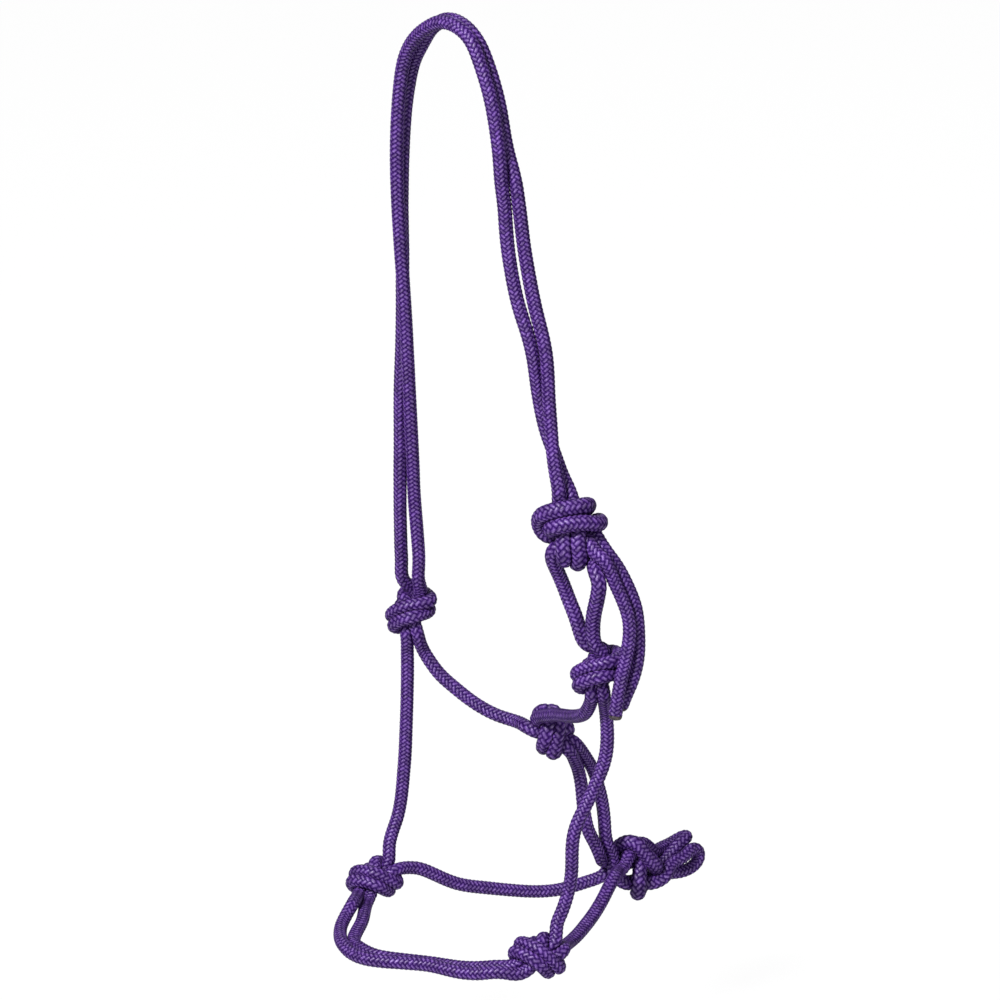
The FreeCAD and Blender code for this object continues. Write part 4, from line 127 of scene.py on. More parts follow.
    1986.01,-0.82,115.70,6.84, 1990.86,0.01,113.39,10.99, 1999.84,0.02,109.45,19.06, 2008.83,-0.00,105.27,27.00, 2017.81,0.00,102.56,35.56,
    2026.80,0.00,100.87,44.38, 2035.78,-0.01,99.80,53.30, 2044.77,-0.12,98.57,62.20, 2051.99,0.28,96.52,69.09, 2058.79,1.87,93.28,74.82,
    2067.77,5.02,88.24,81.57, 2076.76,7.42,82.78,88.20, 2079.16,7.09,81.13,89.91, 2082.14,5.83,79.14,91.72, 2086.41,2.95,76.66,93.62,
    2092.69,-2.28,74.00,95.81, 2095.51,-4.54,73.17,97.27, 2098.46,-6.51,72.60,99.39, 2101.32,-7.92,72.43,101.86, 2103.41,-8.60,72.49,103.83,
    2105.10,-8.85,72.62,105.50, 2106.70,-8.75,72.77,107.09, 2108.30,-8.27,72.90,108.60, 2109.89,-7.39,72.97,109.93, 2111.49,-6.20,72.96,110.99,
    2113.09,-4.77,72.84,111.69, 2114.69,-3.23,72.60,112.00, 2116.42,-1.55,72.19,111.84, 2118.57,0.29,71.51,111.01, 2121.59,2.22,70.37,109.00,
    2125.48,3.75,68.86,105.76, 2128.01,4.27,68.01,103.45, 2130.21,4.34,67.48,101.31, 2132.84,3.80,67.29,98.76, 2136.58,2.15,67.83,95.46,
    2139.75,0.39,68.82,93.02, 2141.67,-0.76,69.68,91.75, 2143.46,-1.85,70.73,90.81, 2145.56,-3.09,72.31,90.20, 2148.63,-4.59,74.96,90.34,
    2152.98,-6.17,78.74,91.78, 2155.37,-6.80,80.71,92.97, 2157.15,-7.10,82.06,94.08, 2158.76,-7.16,83.13,95.29, 2160.36,-6.98,83.94,96.65,
    2161.96,-6.55,84.43,98.11, 2163.56,-5.93,84.55,99.57, 2165.17,-5.16,84.28,100.97, 2166.88,-4.30,83.58,102.26, 2168.86,-3.38,82.29,103.43,
    2171.54,-2.58,79.95,104.45, 2176.69,-2.62,74.93,105.47, 2180.92,-3.23,70.87,106.46, 2182.71,-3.35,69.21,107.14, 2184.46,-3.22,67.72,108.03,
    2186.49,-2.60,66.26,109.29, 2189.38,-0.90,64.83,111.12, 2195.88,4.51,63.15,114.27, 2204.87,12.42,60.76,117.79, 2213.85,20.37,58.29,121.18,
    2222.84,28.35,55.70,124.38, 2231.82,36.32,52.69,127.23, 2240.81,44.25,49.52,130.02, 2249.79,52.16,46.43,132.98, 2258.78,59.94,43.33,136.23,
    2267.76,67.47,40.08,139.89, 2276.75,74.59,37.00,144.40, 2285.35,80.30,34.82,150.42, 2294.33,85.54,32.11,157.19, 2297.17,87.05,31.11,159.37,
    2298.95,87.78,30.53,160.88, 2300.61,88.19,30.07,162.42, 2302.45,88.22,29.73,164.22, 2304.85,87.51,29.65,166.51, 2308.83,85.24,30.44,169.65,
    2313.77,82.00,32.42,172.80, 2316.02,80.47,33.63,173.92, 2317.95,79.19,34.90,174.59, 2319.81,78.11,36.36,174.92, 2321.72,77.32,38.10,174.98,
    2323.78,76.99,40.13,174.85, 2325.98,77.26,42.29,174.60, 2328.16,78.10,44.28,174.30, 2330.21,79.31,45.90,174.00, 2332.23,80.85,47.16,173.71,
    2334.46,82.88,48.04,173.46, 2337.44,85.83,48.28,173.32, 2342.06,90.28,47.11,173.48, 2345.32,93.18,45.64,173.73, 2347.50,94.90,44.33,173.93,
    2349.77,96.32,42.59,174.18, 2352.80,97.36,39.79,174.57, 2357.28,97.40,35.35,175.10, 2360.13,96.87,32.56,175.24, 2362.55,96.02,30.30,175.11,
    2365.55,94.34,27.90,174.47, 2370.20,90.92,25.32,172.72, 2373.37,88.39,24.14,171.23, 2375.32,86.80,23.71,170.19, 2377.03,85.42,23.64,169.19,
    2378.68,84.16,23.92,168.16, 2380.34,83.05,24.59,167.13, 2382.00,82.18,25.62,166.17, 2383.63,81.61,26.90,165.35, 2385.26,81.35,28.38,164.71,
    2387.00,81.46,30.05,164.27, 2388.98,82.05,31.93,164.14, 2391.47,83.35,34.01,164.53, 2394.85,85.51,36.17,165.94, 2398.50,87.71,37.92,168.26,
    2401.47,89.22,38.92,170.61, 2404.55,90.40,39.39,173.40, 2408.64,91.13,39.12,177.40, 2414.00,90.73,38.14,182.64, 2417.47,89.90,37.05,185.82,
    2423.50,88.31,33.63,190.51, 2427.10,87.66,32.09,193.68, 2433.99,87.49,31.00,200.46, 2442.98,89.02,30.07,209.25, 2451.96,92.01,29.14,217.67,
    2460.95,95.00,28.42,226.11, 2464.43,95.75,28.26,229.50, 2466.54,95.86,28.20,231.60, 2468.48,95.58,28.17,233.52, 2470.57,94.77,28.24,235.44,
    2473.34,93.01,28.68,237.51, 2479.58,88.18,31.27,240.44, 2482.58,85.88,32.54,241.90, 2484.86,84.12,33.12,243.22, 2486.85,82.56,33.22,244.45,
    2488.92,80.96,32.84,245.69, 2491.88,78.85,31.39,247.13, 2498.09,75.51,26.57,249.16, 2500.29,74.31,24.93,249.99, 2502.13,73.16,23.58,250.49,
    2504.00,71.91,22.20,250.58, 2505.90,70.64,20.88,250.15, 2507.75,69.44,19.75,249.29, 2509.67,68.28,18.89,248.03, 2511.94,67.09,18.40,246.18,
    2515.38,65.84,18.78,243.02, 2524.36,64.05,22.69,235.15, 2533.35,63.22,27.05,227.36, 2539.98,64.00,29.36,221.21, 2548.97,66.84,31.10,212.89,
    2557.95,70.84,32.03,204.90, 2566.94,74.00,32.85,196.54, 2571.22,75.38,33.39,192.52, 2573.21,76.21,33.84,190.77, 2575.26,77.28,34.59,189.19,
    2578.48,79.33,36.41,187.57, 2581.52,81.43,38.52,186.97, 2583.24,82.63,39.71,186.63, 2584.94,83.78,40.79,186.00, 2586.70,84.82,41.73,184.94,
    2588.49,85.62,42.44,183.51, 2590.41,86.12,42.93,181.73, 2592.83,86.15,43.09,179.32, 2596.77,85.01,42.33,175.66, 2601.53,82.79,40.50,171.88,
    2603.89,81.44,39.36,170.30, 2605.86,80.23,38.22,169.27, 2607.69,79.10,36.93,168.62, 2609.50,78.12,35.45,168.32, 2611.31,77.39,33.80,168.38,
    2613.08,76.98,32.12,168.75, 2614.80,76.92,30.53,169.38, 2616.51,77.18,29.07,170.25, 2618.40,77.85,27.74,171.40, 2620.77,79.18,26.63,172.99,
    2624.29,81.80,26.21,175.28, 2629.61,86.15,27.23,178.14, 2635.20,90.71,29.55,180.33, 2639.80,94.21,32.26,181.55, 2641.79,95.53,33.69,181.98,
    2643.52,96.47,35.10,182.33, 2645.35,97.10,36.78,182.66, 2647.60,97.21,39.00,182.96, 2650.94,96.08,42.11,183.19, 2655.98,92.85,45.96,183.19,
    2658.54,90.86,47.56,183.10, 2660.38,89.27,48.48,182.98, 2662.05,87.71,49.06,182.83, 2663.70,86.09,49.28,182.62, 2665.36,84.47,49.08,182.35,
    2667.01,82.97,48.47,182.05, 2668.63,81.70,47.51,181.73, 2670.25,80.73,46.26,181.41, 2671.95,80.08,44.73,181.08, 2673.93,79.89,42.79,180.73,
    2676.52,80.57,40.34,180.30, 2680.09,82.66,37.59,179.50, 2684.00,85.40,35.28,177.94, 2687.28,87.63,33.83,176.05, 2690.61,89.78,33.01,173.65,
    2694.54,91.88,32.99,170.34, 2697.81,93.07,33.45,167.34, 2700.53,93.54,34.01,164.72, 2703.85,93.23,34.97,161.57, 2710.55,90.47,37.82,156.22,
    2719.53,86.20,42.30,149.71, 2724.98,84.10,44.66,145.28, 2730.63,82.97,46.21,139.99, 2739.62,82.51,47.25,131.08, 2748.60,82.07,47.32,122.12,
    2757.59,81.62,45.72,113.31, 2766.57,81.20,42.18,105.07, 2775.56,80.80,37.91,97.17, 2784.54,80.41,33.20,89.53, 2793.53,80.03,28.27,82.03,
    2801.40,79.67,24.99,74.91, 2810.39,79.22,23.53,66.08, 2819.37,78.77,23.61,57.11, 2828.36,78.31,23.73,48.14, 2837.34,77.86,22.54,39.25,
    2846.33,77.43,20.07,30.63, 2855.31,76.95,16.51,22.41, 2860.28,77.07,14.01,18.12, 2867.67,79.27,10.98,11.78, 2869.84,79.96,10.03,9.96,
    2872.14,80.30,8.80,8.05, 2875.36,79.74,6.79,5.62, 2881.17,76.60,3.39,2.16, 2883.61,74.93,2.08,0.97, 2885.42,73.56,1.11,0.28,
    2887.09,72.20,0.22,-0.09, 2888.73,70.84,-0.68,-0.11, 2890.38,69.53,-1.62,0.28, 2892.06,68.43,-2.60,1.06, 2893.74,67.64,-3.61,2.14,
    2895.41,67.24,-4.61,3.42, 2897.09,67.27,-5.57,4.79, 2898.84,67.74,-6.48,6.22, 2900.86,68.82,-7.33,7.69, 2903.55,70.95,-8.03,9.13,
    2907.65,74.91,-8.20,10.11, 2911.63,78.85,-7.74,10.13, 2914.25,81.38,-7.17,9.74, 2917.14,83.92,-6.17,8.81, 2921.49,86.77,-3.99,6.42,
    2927.11,89.06,-0.79,2.41, 2929.52,89.63,0.62,0.54, 2931.37,89.81,1.76,-0.90, 2933.07,89.69,2.88,-2.17, 2934.76,89.24,4.06,-3.29,
    2936.53,88.41,5.32,-4.21, 2938.52,87.08,6.67,-4.80, 2941.03,85.05,8.12,-4.82, 2944.83,81.84,9.60,-3.50, 2949.40,78.31,10.51,-0.76,
    2951.54,76.81,10.68,0.76, 2953.28,75.71,10.65,2.10, 2954.91,74.84,10.40,3.45, 2956.51,74.21,9.88,4.83, 2958.11,73.86,9.10,6.17,
    2959.70,73.82,8.07,7.40, 2961.32,74.09,6.85,8.42, 2963.08,74.70,5.39,9.18, 2965.16,75.73,3.62,9.51, 2968.03,77.35,1.36,8.91,
    2972.76,79.49,-1.77,6.13, 2980.03,80.91,-6.71,1.02, 2985.08,80.93,-10.59,-2.20, 2987.90,80.56,-12.95,-3.69, 2990.88,79.80,-15.63,-4.73,
    2995.42,78.04,-19.79,-4.86, 3002.14,74.45,-25.30,-3.58, 3006.91,71.22,-28.78,-3.42, 3015.89,64.10,-33.93,-5.16, 3024.88,56.34,-38.29,-6.35,
    3033.86,48.17,-41.99,-6.71, 3042.85,39.63,-44.79,-6.74, 3051.83,31.33,-48.18,-6.84, 3060.82,23.90,-53.22,-7.03, 3069.80,16.85,-58.78,-7.21,
    3078.79,9.68,-64.19,-7.47, 3087.35,2.19,-68.29,-7.77, 3095.11,-5.32,-70.10,-8.06, 3104.09,-14.28,-70.05,-7.84, 3113.08,-22.94,-67.90,-7.01,
    3122.06,-30.89,-63.76,-6.92, 3131.05,-38.16,-58.49,-7.15, 3140.03,-44.87,-52.53,-6.86, 3145.14,-48.14,-48.68,-6.18, 3151.32,-51.05,-43.71,-4.02,
    3155.90,-52.65,-39.97,-1.92, 3159.46,-54.23,-36.99,-0.80, 3164.99,-57.54,-32.61,-0.68, 3173.97,-63.68,-26.37,-2.66, 3182.96,-69.99,-20.37,-4.84,
    3185.92,-71.88,-18.10,-4.93, 3190.89,-74.31,-14.06,-3.48, 3199.87,-78.08,-7.51,1.37, 3202.47,-79.43,-5.65,2.57, 3204.51,-80.61,-4.14,3.25,
    3206.36,-81.69,-2.67,3.55, 3208.17,-82.63,-1.13,3.49, 3209.93,-83.31,0.45,3.10, 3211.64,-83.65,1.99,2.45, 3213.32,-83.64,3.44,1.61,
    3215.07,-83.24,4.80,0.59, 3217.13,-82.28,6.09,-0.69, 3220.00,-80.20,7.08,-2.37, 3224.68,-76.02,6.87,-4.38, 3228.06,-72.92,5.96,-5.39,
    3230.21,-70.99,5.14,-5.85, 3232.42,-69.09,4.04,-6.07, 3235.42,-66.92,2.03,-5.70, 3240.18,-64.85,-1.76,-3.77, 3243.19,-64.14,-4.19,-2.14,
    3245.18,-63.91,-5.77,-0.97, 3247.20,-64.00,-7.39,0.23, 3249.81,-64.83,-9.44,1.61, 3254.01,-67.67,-12.17,2.96, 3257.99,-71.09,-14.13,3.43,
    3260.09,-73.00,-14.99,3.43, 3261.85,-74.65,-15.58,3.24, 3263.53,-76.22,-15.97,2.82, 3265.20,-77.75,-16.12,2.14, 3266.88,-79.12,-15.99,1.19,
    3268.53,-80.23,-15.56,0.04, 3270.16,-81.03,-14.88,-1.20, 3271.82,-81.50,-13.96,-2.49, 3273.62,-81.58,-12.75,-3.81, 3275.78,-81.09,-11.10,-5.11,
    3278.69,-79.61,-8.81,-6.07, 3282.50,-77.03,-6.04,-5.99, 3286.46,-74.41,-3.33,-4.79, 3293.18,-70.96,0.75,-0.78, 3297.09,-69.43,3.01,2.00,
    3299.50,-68.64,4.65,3.59, 3302.25,-67.96,6.89,5.02, 3306.57,-67.47,11.06,5.88, 3311.67,-66.66,16.07,5.48, 3318.17,-64.10,21.93,4.43,
    3327.15,-60.35,29.22,0.81, 3336.14,-56.82,36.14,-3.70, 3345.12,-53.17,43.29,-7.74, 3354.11,-49.29,50.89,-10.51, 3363.10,-45.30,58.72,-12.38,
    3372.08,-41.30,66.55,-14.20, 3381.07,-37.29,74.41,-15.91, 3390.05,-33.27,82.29,-17.46, 3399.04,-29.21,90.24,-18.51, 3408.02,-25.13,98.24,-18.73,
    3417.01,-21.07,106.19,-17.83, 3425.99,-17.20,114.09,-16.02, 3431.45,-14.85,118.86,-14.77, 3435.47,-12.59,121.91,-13.49, 3437.07,-11.58,122.98,-12.83,
    3438.67,-10.65,124.02,-12.07, 3440.65,-9.78,125.44,-11.00, 3443.28,-9.60,127.59,-9.55, 3445.18,-10.20,129.11,-8.58, 3446.91,-10.97,130.36,-7.67,
    3448.95,-11.78,131.68,-6.35, 3452.20,-12.05,133.37,-3.63, 3461.18,-8.36,135.63,4.18, 3464.24,-6.60,136.47,6.52, 3466.60,-5.00,137.32,8.03,
    3468.50,-3.56,138.14,8.98, 3470.29,-2.13,139.01,9.58, 3472.23,-0.51,140.05,9.84, 3474.92,1.63,141.57,9.35, 3481.26,4.94,144.77,5.12,
    3488.79,7.26,148.59,-0.92, 3492.57,7.71,150.86,-3.91, 3496.24,7.33,153.21,-6.68, 3503.77,3.92,157.73,-11.57, 3507.06,2.40,159.84,-13.58,
    3512.63,1.52,164.47,-16.46, 3518.90,1.36,170.43,-18.36, 3526.35,2.59,177.69,-19.26, 3531.77,3.80,182.95,-18.78, 3534.88,4.34,185.89,-17.94,
    3537.04,4.62,187.83,-17.05, 3538.71,4.76,189.23,-16.15, 3540.30,4.81,190.44,-15.11, 3541.90,4.78,191.44,-13.87, 3543.50,4.67,192.16,-12.45,
    3545.10,4.49,192.47,-10.89, 3546.69,4.28,192.30,-9.33, 3548.48,4.08,191.46,-7.77, 3551.34,4.03,189.07,-6.27, 3560.33,5.65,180.41,-7.38,
    3566.29,6.31,174.63,-8.64, 3569.34,6.07,171.67,-9.28, 3572.47,6.01,168.66,-10.14, 3576.81,7.22,164.92,-11.90, 3579.32,8.20,163.00,-13.20,
    3582.52,8.85,160.42,-14.95, 3587.21,8.12,156.26,-16.90, 3591.42,6.59,152.46,-17.86, 3598.01,3.16,146.87,-17.66, 3601.10,1.67,144.21,-17.17,
    3605.28,0.83,140.19,-16.57, 3608.18,0.91,137.36,-15.93, 3611.52,0.82,134.29,-14.65, 3615.41,-0.09,131.29,-12.38, 3618.95,-0.98,129.14,-9.72,
    3622.56,-1.24,127.37,-6.60, 3629.86,-0.53,125.97,0.47, 3634.96,-0.26,125.05,5.47, 3643.95,-0.04,121.08,13.52, 3651.29,0.03,118.87,20.50,
    3660.28,-0.00,118.00,29.44, 3669.26,-0.00,116.90,38.35, 3678.25,0.00,115.06,47.15, 3687.23,-0.01,112.55,55.77, 3696.22,-0.10,109.55,64.24,
    3704.73,0.60,105.34,71.56, 3713.71,2.30,99.90,78.51, 3722.70,4.16,94.28,85.27, 3726.72,4.79,91.57,88.16, 3729.60,4.92,89.47,90.13,
    3732.94,4.38,86.85,92.11, 3737.51,2.22,83.44,94.19, 3743.17,-1.77,80.36,96.72, 3745.35,-3.44,79.50,97.84, 3747.07,-4.75,78.97,98.81,
    3748.67,-5.92,78.62,99.85, 3750.27,-6.94,78.44,101.06, 3751.86,-7.71,78.40,102.46, 3753.46,-8.12,78.48,104.00, 3755.06,-8.11,78.60,105.59,
    3756.66,-7.68,78.72,107.12, 3758.25,-6.85,78.80,108.48, 3759.97,-5.60,78.79,109.65, 3762.03,-3.74,78.63,110.52, 3764.85,-1.01,78.09,110.64,
    3768.71,2.30,76.88,109.14, 3771.98,4.51,75.64,107.08, 3775.13,6.14,74.42,104.68, 3779.30,7.21,73.03,100.92, 3782.79,7.17,72.18,97.55,
    3784.72,6.88,71.85,95.66, 3786.32,6.51,71.68,94.12, 3787.91,6.01,71.68,92.60, 3789.63,5.30,71.93,91.07, 3791.80,4.15,72.75,89.43,
    3794.98,2.25,74.89,88.11, 3799.27,-0.01,78.50,88.20, 3801.56,-1.03,80.47,88.75, 3803.25,-1.69,81.92,89.32, 3804.85,-2.21,83.26,90.02,
    3806.44,-2.58,84.53,90.91, 3808.04,-2.73,85.66,92.02, 3809.64,-2.62,86.55,93.34, 3811.24,-2.24,87.12,94.78, 3812.83,-1.62,87.30,96.24,
    3814.52,-0.81,87.05,97.69, 3816.43,0.20,86.26,99.10, 3818.82,1.35,84.59,100.35, 3822.26,2.29,81.40,101.07, 3827.27,1.87,76.43,100.96,
    3831.33,0.47,72.64,100.83, 3835.04,-1.49,69.49,100.92, 3838.03,-3.53,67.35,101.30, 3840.18,-5.20,66.07,101.76, 3842.57,-7.25,64.98,102.31,
    3846.82,-11.39,64.44,102.79, 3853.18,-17.48,66.10,102.20, 3856.17,-20.40,66.67,101.93, 3860.60,-24.77,66.22,101.96, 3869.58,-32.62,62.16,103.42,
    3878.57,-40.26,58.16,105.94, 3887.55,-47.61,54.44,109.51, 3896.54,-54.56,50.91,113.98, 3905.52,-61.25,47.52,118.92, 3914.51,-67.68,44.26,124.27,
    3923.49,-73.12,41.57,130.88, 3927.08,-75.10,40.63,133.73, 3930.15,-76.51,39.73,136.29, 3934.88,-77.35,37.85,140.51, 3943.73,-75.71,33.85,148.21,
    3947.76,-75.55,32.62,152.02, 3955.21,-78.02,31.63,158.93, 3960.73,-81.02,31.32,163.54, 3965.49,-84.15,31.86,167.08, 3967.93,-85.97,32.35,168.64,
    3969.79,-87.44,32.84,169.65, 3971.45,-88.79,33.43,170.42, 3973.07,-90.07,34.22,171.02, 3974.70,-91.21,35.27,171.49, 3976.34,-92.11,36.60,171.84,
    3977.98,-92.65,38.13,172.08, 3979.68,-92.77,39.81,172.23, 3981.50,-92.40,41.59,172.33, 3983.66,-91.33,43.46,172.37, 3986.63,-88.98,45.24,172.33,
    3991.13,-84.59,45.96,172.04, 3994.38,-81.40,45.49,171.74, 3996.35,-79.51,44.94,171.55, 3998.05,-77.96,44.29,171.39, 3999.75,-76.50,43.42,171.24,
    4001.67,-75.10,42.12,171.11, 4004.17,-73.92,39.94,171.02, 4007.98,-73.87,36.17,170.96, 4013.15,-76.03,31.51,170.60, 4016.09,-77.74,29.17,170.11,
    4019.14,-79.78,27.07,169.29, 4023.50,-83.18,25.16,167.42, 4027.14,-86.17,24.62,165.40, 4029.18,-87.79,24.61,164.19, 4030.91,-89.14,24.78,163.11,
    4032.58,-90.36,25.15,162.03, 4034.28,-91.48,25.82,160.95, 4036.03,-92.41,26.85,159.89, 4037.81,-93.03,28.24,158.97, 4039.62,-93.28,29.88,158.27,
    4041.46,-93.15,31.67,157.87, 4043.39,-92.65,33.53,157.82, 4045.51,-91.73,35.38,158.23, 4048.16,-90.27,37.23,159.44, 4052.39,-88.17,38.86,162.67,
    4057.94,-86.78,39.48,167.98, 4060.39,-86.50,39.49,170.41, 4062.94,-86.47,39.23,172.95, 4067.38,-87.19,37.60,176.97, 4070.28,-87.84,35.67,179.02,
    4073.27,-88.30,33.59,181.11, 4078.62,-88.47,31.31,185.88, 4087.60,-87.72,30.42,194.78, 4096.59,-86.55,29.19,203.61, 4105.57,-85.12,27.83,212.37,
    4114.56,-83.67,26.50,221.14, 4123.54,-82.21,25.20,229.91, 4132.53,-80.99,24.22,238.75, 4141.51,-80.13,23.64,247.68, 4150.50,-79.52,23.24,256.63,
    4159.48,-78.83,22.89,265.59, 4168.47,-78.02,22.39,274.52, 4177.46,-77.18,21.75,283.44, 4186.44,-76.32,21.06,292.36, 4195.43,-75.39,20.40,301.27,
    4204.41,-74.35,19.81,310.18, 4213.40,-73.19,19.27,319.07, 4222.38,-71.97,18.74,327.96, 4231.37,-70.76,18.15,336.84, 4240.35,-69.60,17.48,345.73,
    4249.34,-68.46,16.78,354.61, 4258.32,-67.40,16.09,363.51, 4267.31,-66.40,15.39,372.41, 4276.29,-65.41,14.69,381.31, 4285.28,-64.38,13.99,390.21,
    4294.27,-63.36,13.24,399.11, 4303.25,-62.48,12.42,408.01, 4312.24,-61.68,11.59,416.92, 4321.22,-60.79,10.75,425.83, 4330.21,-59.70,9.93,434.71,
    4339.19,-58.41,9.08,443.56, 4348.18,-56.98,8.24,452.39, 4357.16,-55.37,7.39,461.19, 4366.15,-53.61,6.53,469.96, 4375.13,-51.72,5.65,478.70,
    4384.12,-49.57,4.78,487.38, 4393.10,-47.03,3.92,495.95, 4402.09,-44.09,3.08,504.40, 4411.08,-40.70,2.24,512.68, 4420.06,-36.49,1.42,520.56,
    4429.05,-31.08,0.60,527.68, 4438.03,-25.38,-0.12,534.59, 4447.02,-19.40,-0.77,541.26, 4456.00,-12.24,-1.36,546.63, 4463.36,-5.67,-1.70,549.88,
    4470.11,0.91,-1.86,551.33, 4477.66,8.42,-1.94,550.91, 4485.09,15.47,-1.88,548.62, 4491.23,20.68,-1.69,545.41, 4498.34,25.50,-1.17,540.25,
    4507.32,29.68,-0.24,532.36, 4516.31,33.04,0.67,524.08, 4525.30,35.79,1.59,515.58, 4534.28,37.82,2.55,506.88, 4543.27,39.06,3.52,498.03,
    4552.25,40.08,4.54,489.17, 4561.24,41.57,5.65,480.38, 4570.22,43.91,6.66,471.77, 4579.21,46.41,7.15,463.15, 4588.19,48.02,7.56,454.33,
    4597.18,48.70,8.51,445.42, 4606.16,48.86,9.67,436.51, 4615.15,49.14,10.82,427.61, 4624.13,49.95,11.88,418.72, 4633.12,51.07,12.89,409.86,
    4642.10,52.51,13.81,401.04, 4651.09,54.46,14.55,392.31, 4660.08,57.15,15.10,383.75, 4669.06,60.05,15.59,375.26, 4678.05,62.24,16.06,366.57,
    4687.03,63.29,16.46,357.66, 4696.02,63.65,16.77,348.69, 4705.00,63.87,17.05,339.71, 4713.99,64.44,17.37,330.75, 4722.97,65.27,17.62,321.80,
    4731.96,66.34,17.55,312.88, 4740.94,67.68,17.62,304.00, 4749.93,69.27,17.99,295.16, 4758.91,71.12,18.49,286.39, 4766.59,70.94,19.62,278.87,
    4770.34,70.44,20.40,275.24, 4779.33,72.75,20.14,266.68, 4788.31,75.66,18.58,258.33, 4790.61,76.37,18.08,256.20, 4792.58,76.95,17.70,254.35,
    4794.53,77.41,17.45,252.49, 4796.50,77.62,17.43,250.53, 4798.46,77.49,17.72,248.59, 4800.35,77.01,18.30,246.87, 4802.21,76.22,19.14,245.41,
    4804.27,75.07,20.30,244.17, 4807.24,73.07,22.27,243.24, 4813.74,68.65,26.36,245.19, 4816.16,67.31,27.78,246.63, 4818.69,66.04,29.41,248.09,
    4822.95,64.57,32.08,251.03, 4830.08,65.02,34.97,257.48, 4834.35,66.13,36.94,261.09, 4837.17,67.16,38.21,263.39, 4839.86,68.44,39.15,265.55,
    4842.83,70.21,39.66,267.88, 4846.38,72.70,39.28,270.35, 4850.63,75.75,37.47,272.65, 4854.19,78.04,35.12,274.03, 4856.89,79.50,32.99,274.82,
    4859.84,80.69,30.39,275.49, 4864.15,81.21,26.19,276.13, 4870.43,79.32,20.24,276.19, 4874.31,77.39,16.91,275.77, 4877.46,75.50,14.47,275.14,
    4880.68,73.22,12.41,274.20, 4884.05,70.50,10.98,272.87, 4887.19,67.83,10.41,271.32, 4890.27,65.37,10.48,269.48, 4893.40,63.31,11.05,267.21,
    4896.43,61.92,11.95,264.68, 4898.97,61.30,12.89,262.40, 4901.17,61.17,13.82,260.41, 4903.53,61.44,14.99,258.39, 4906.61,62.26,16.96,256.18,
    4910.16,63.46,19.95,254.77, 4914.63,65.30,24.00,254.53, 4917.49,67.05,26.26,254.67, 4920.21,69.04,28.09,254.86, 4923.58,71.90,29.84,255.14,
    4926.71,74.93,30.54,255.37, 4930.98,79.17,30.53,255.05, 4939.21,86.26,30.83,251.01, 4943.16,89.47,31.46,248.82, 4945.85,91.72,32.09,247.49,
    4949.31,94.34,33.15,245.50, 4958.30,97.41,35.77,237.65, 4967.28,100.11,38.13,229.44, 4976.27,103.09,40.26,221.24, 4985.25,105.82,41.72,212.81,
    4994.24,107.46,41.80,204.00, 5003.22,107.86,40.49,195.13, 5012.21,107.84,38.44,186.38, 5021.19,107.55,36.19,177.69, 5030.18,107.50,34.04,168.97,
    5039.16,107.61,32.21,160.17, 5048.15,108.48,30.37,151.43,
]
LINE = np.array(LINE).reshape(-1, 4)
LENGTH = float(LINE[-1, 0])

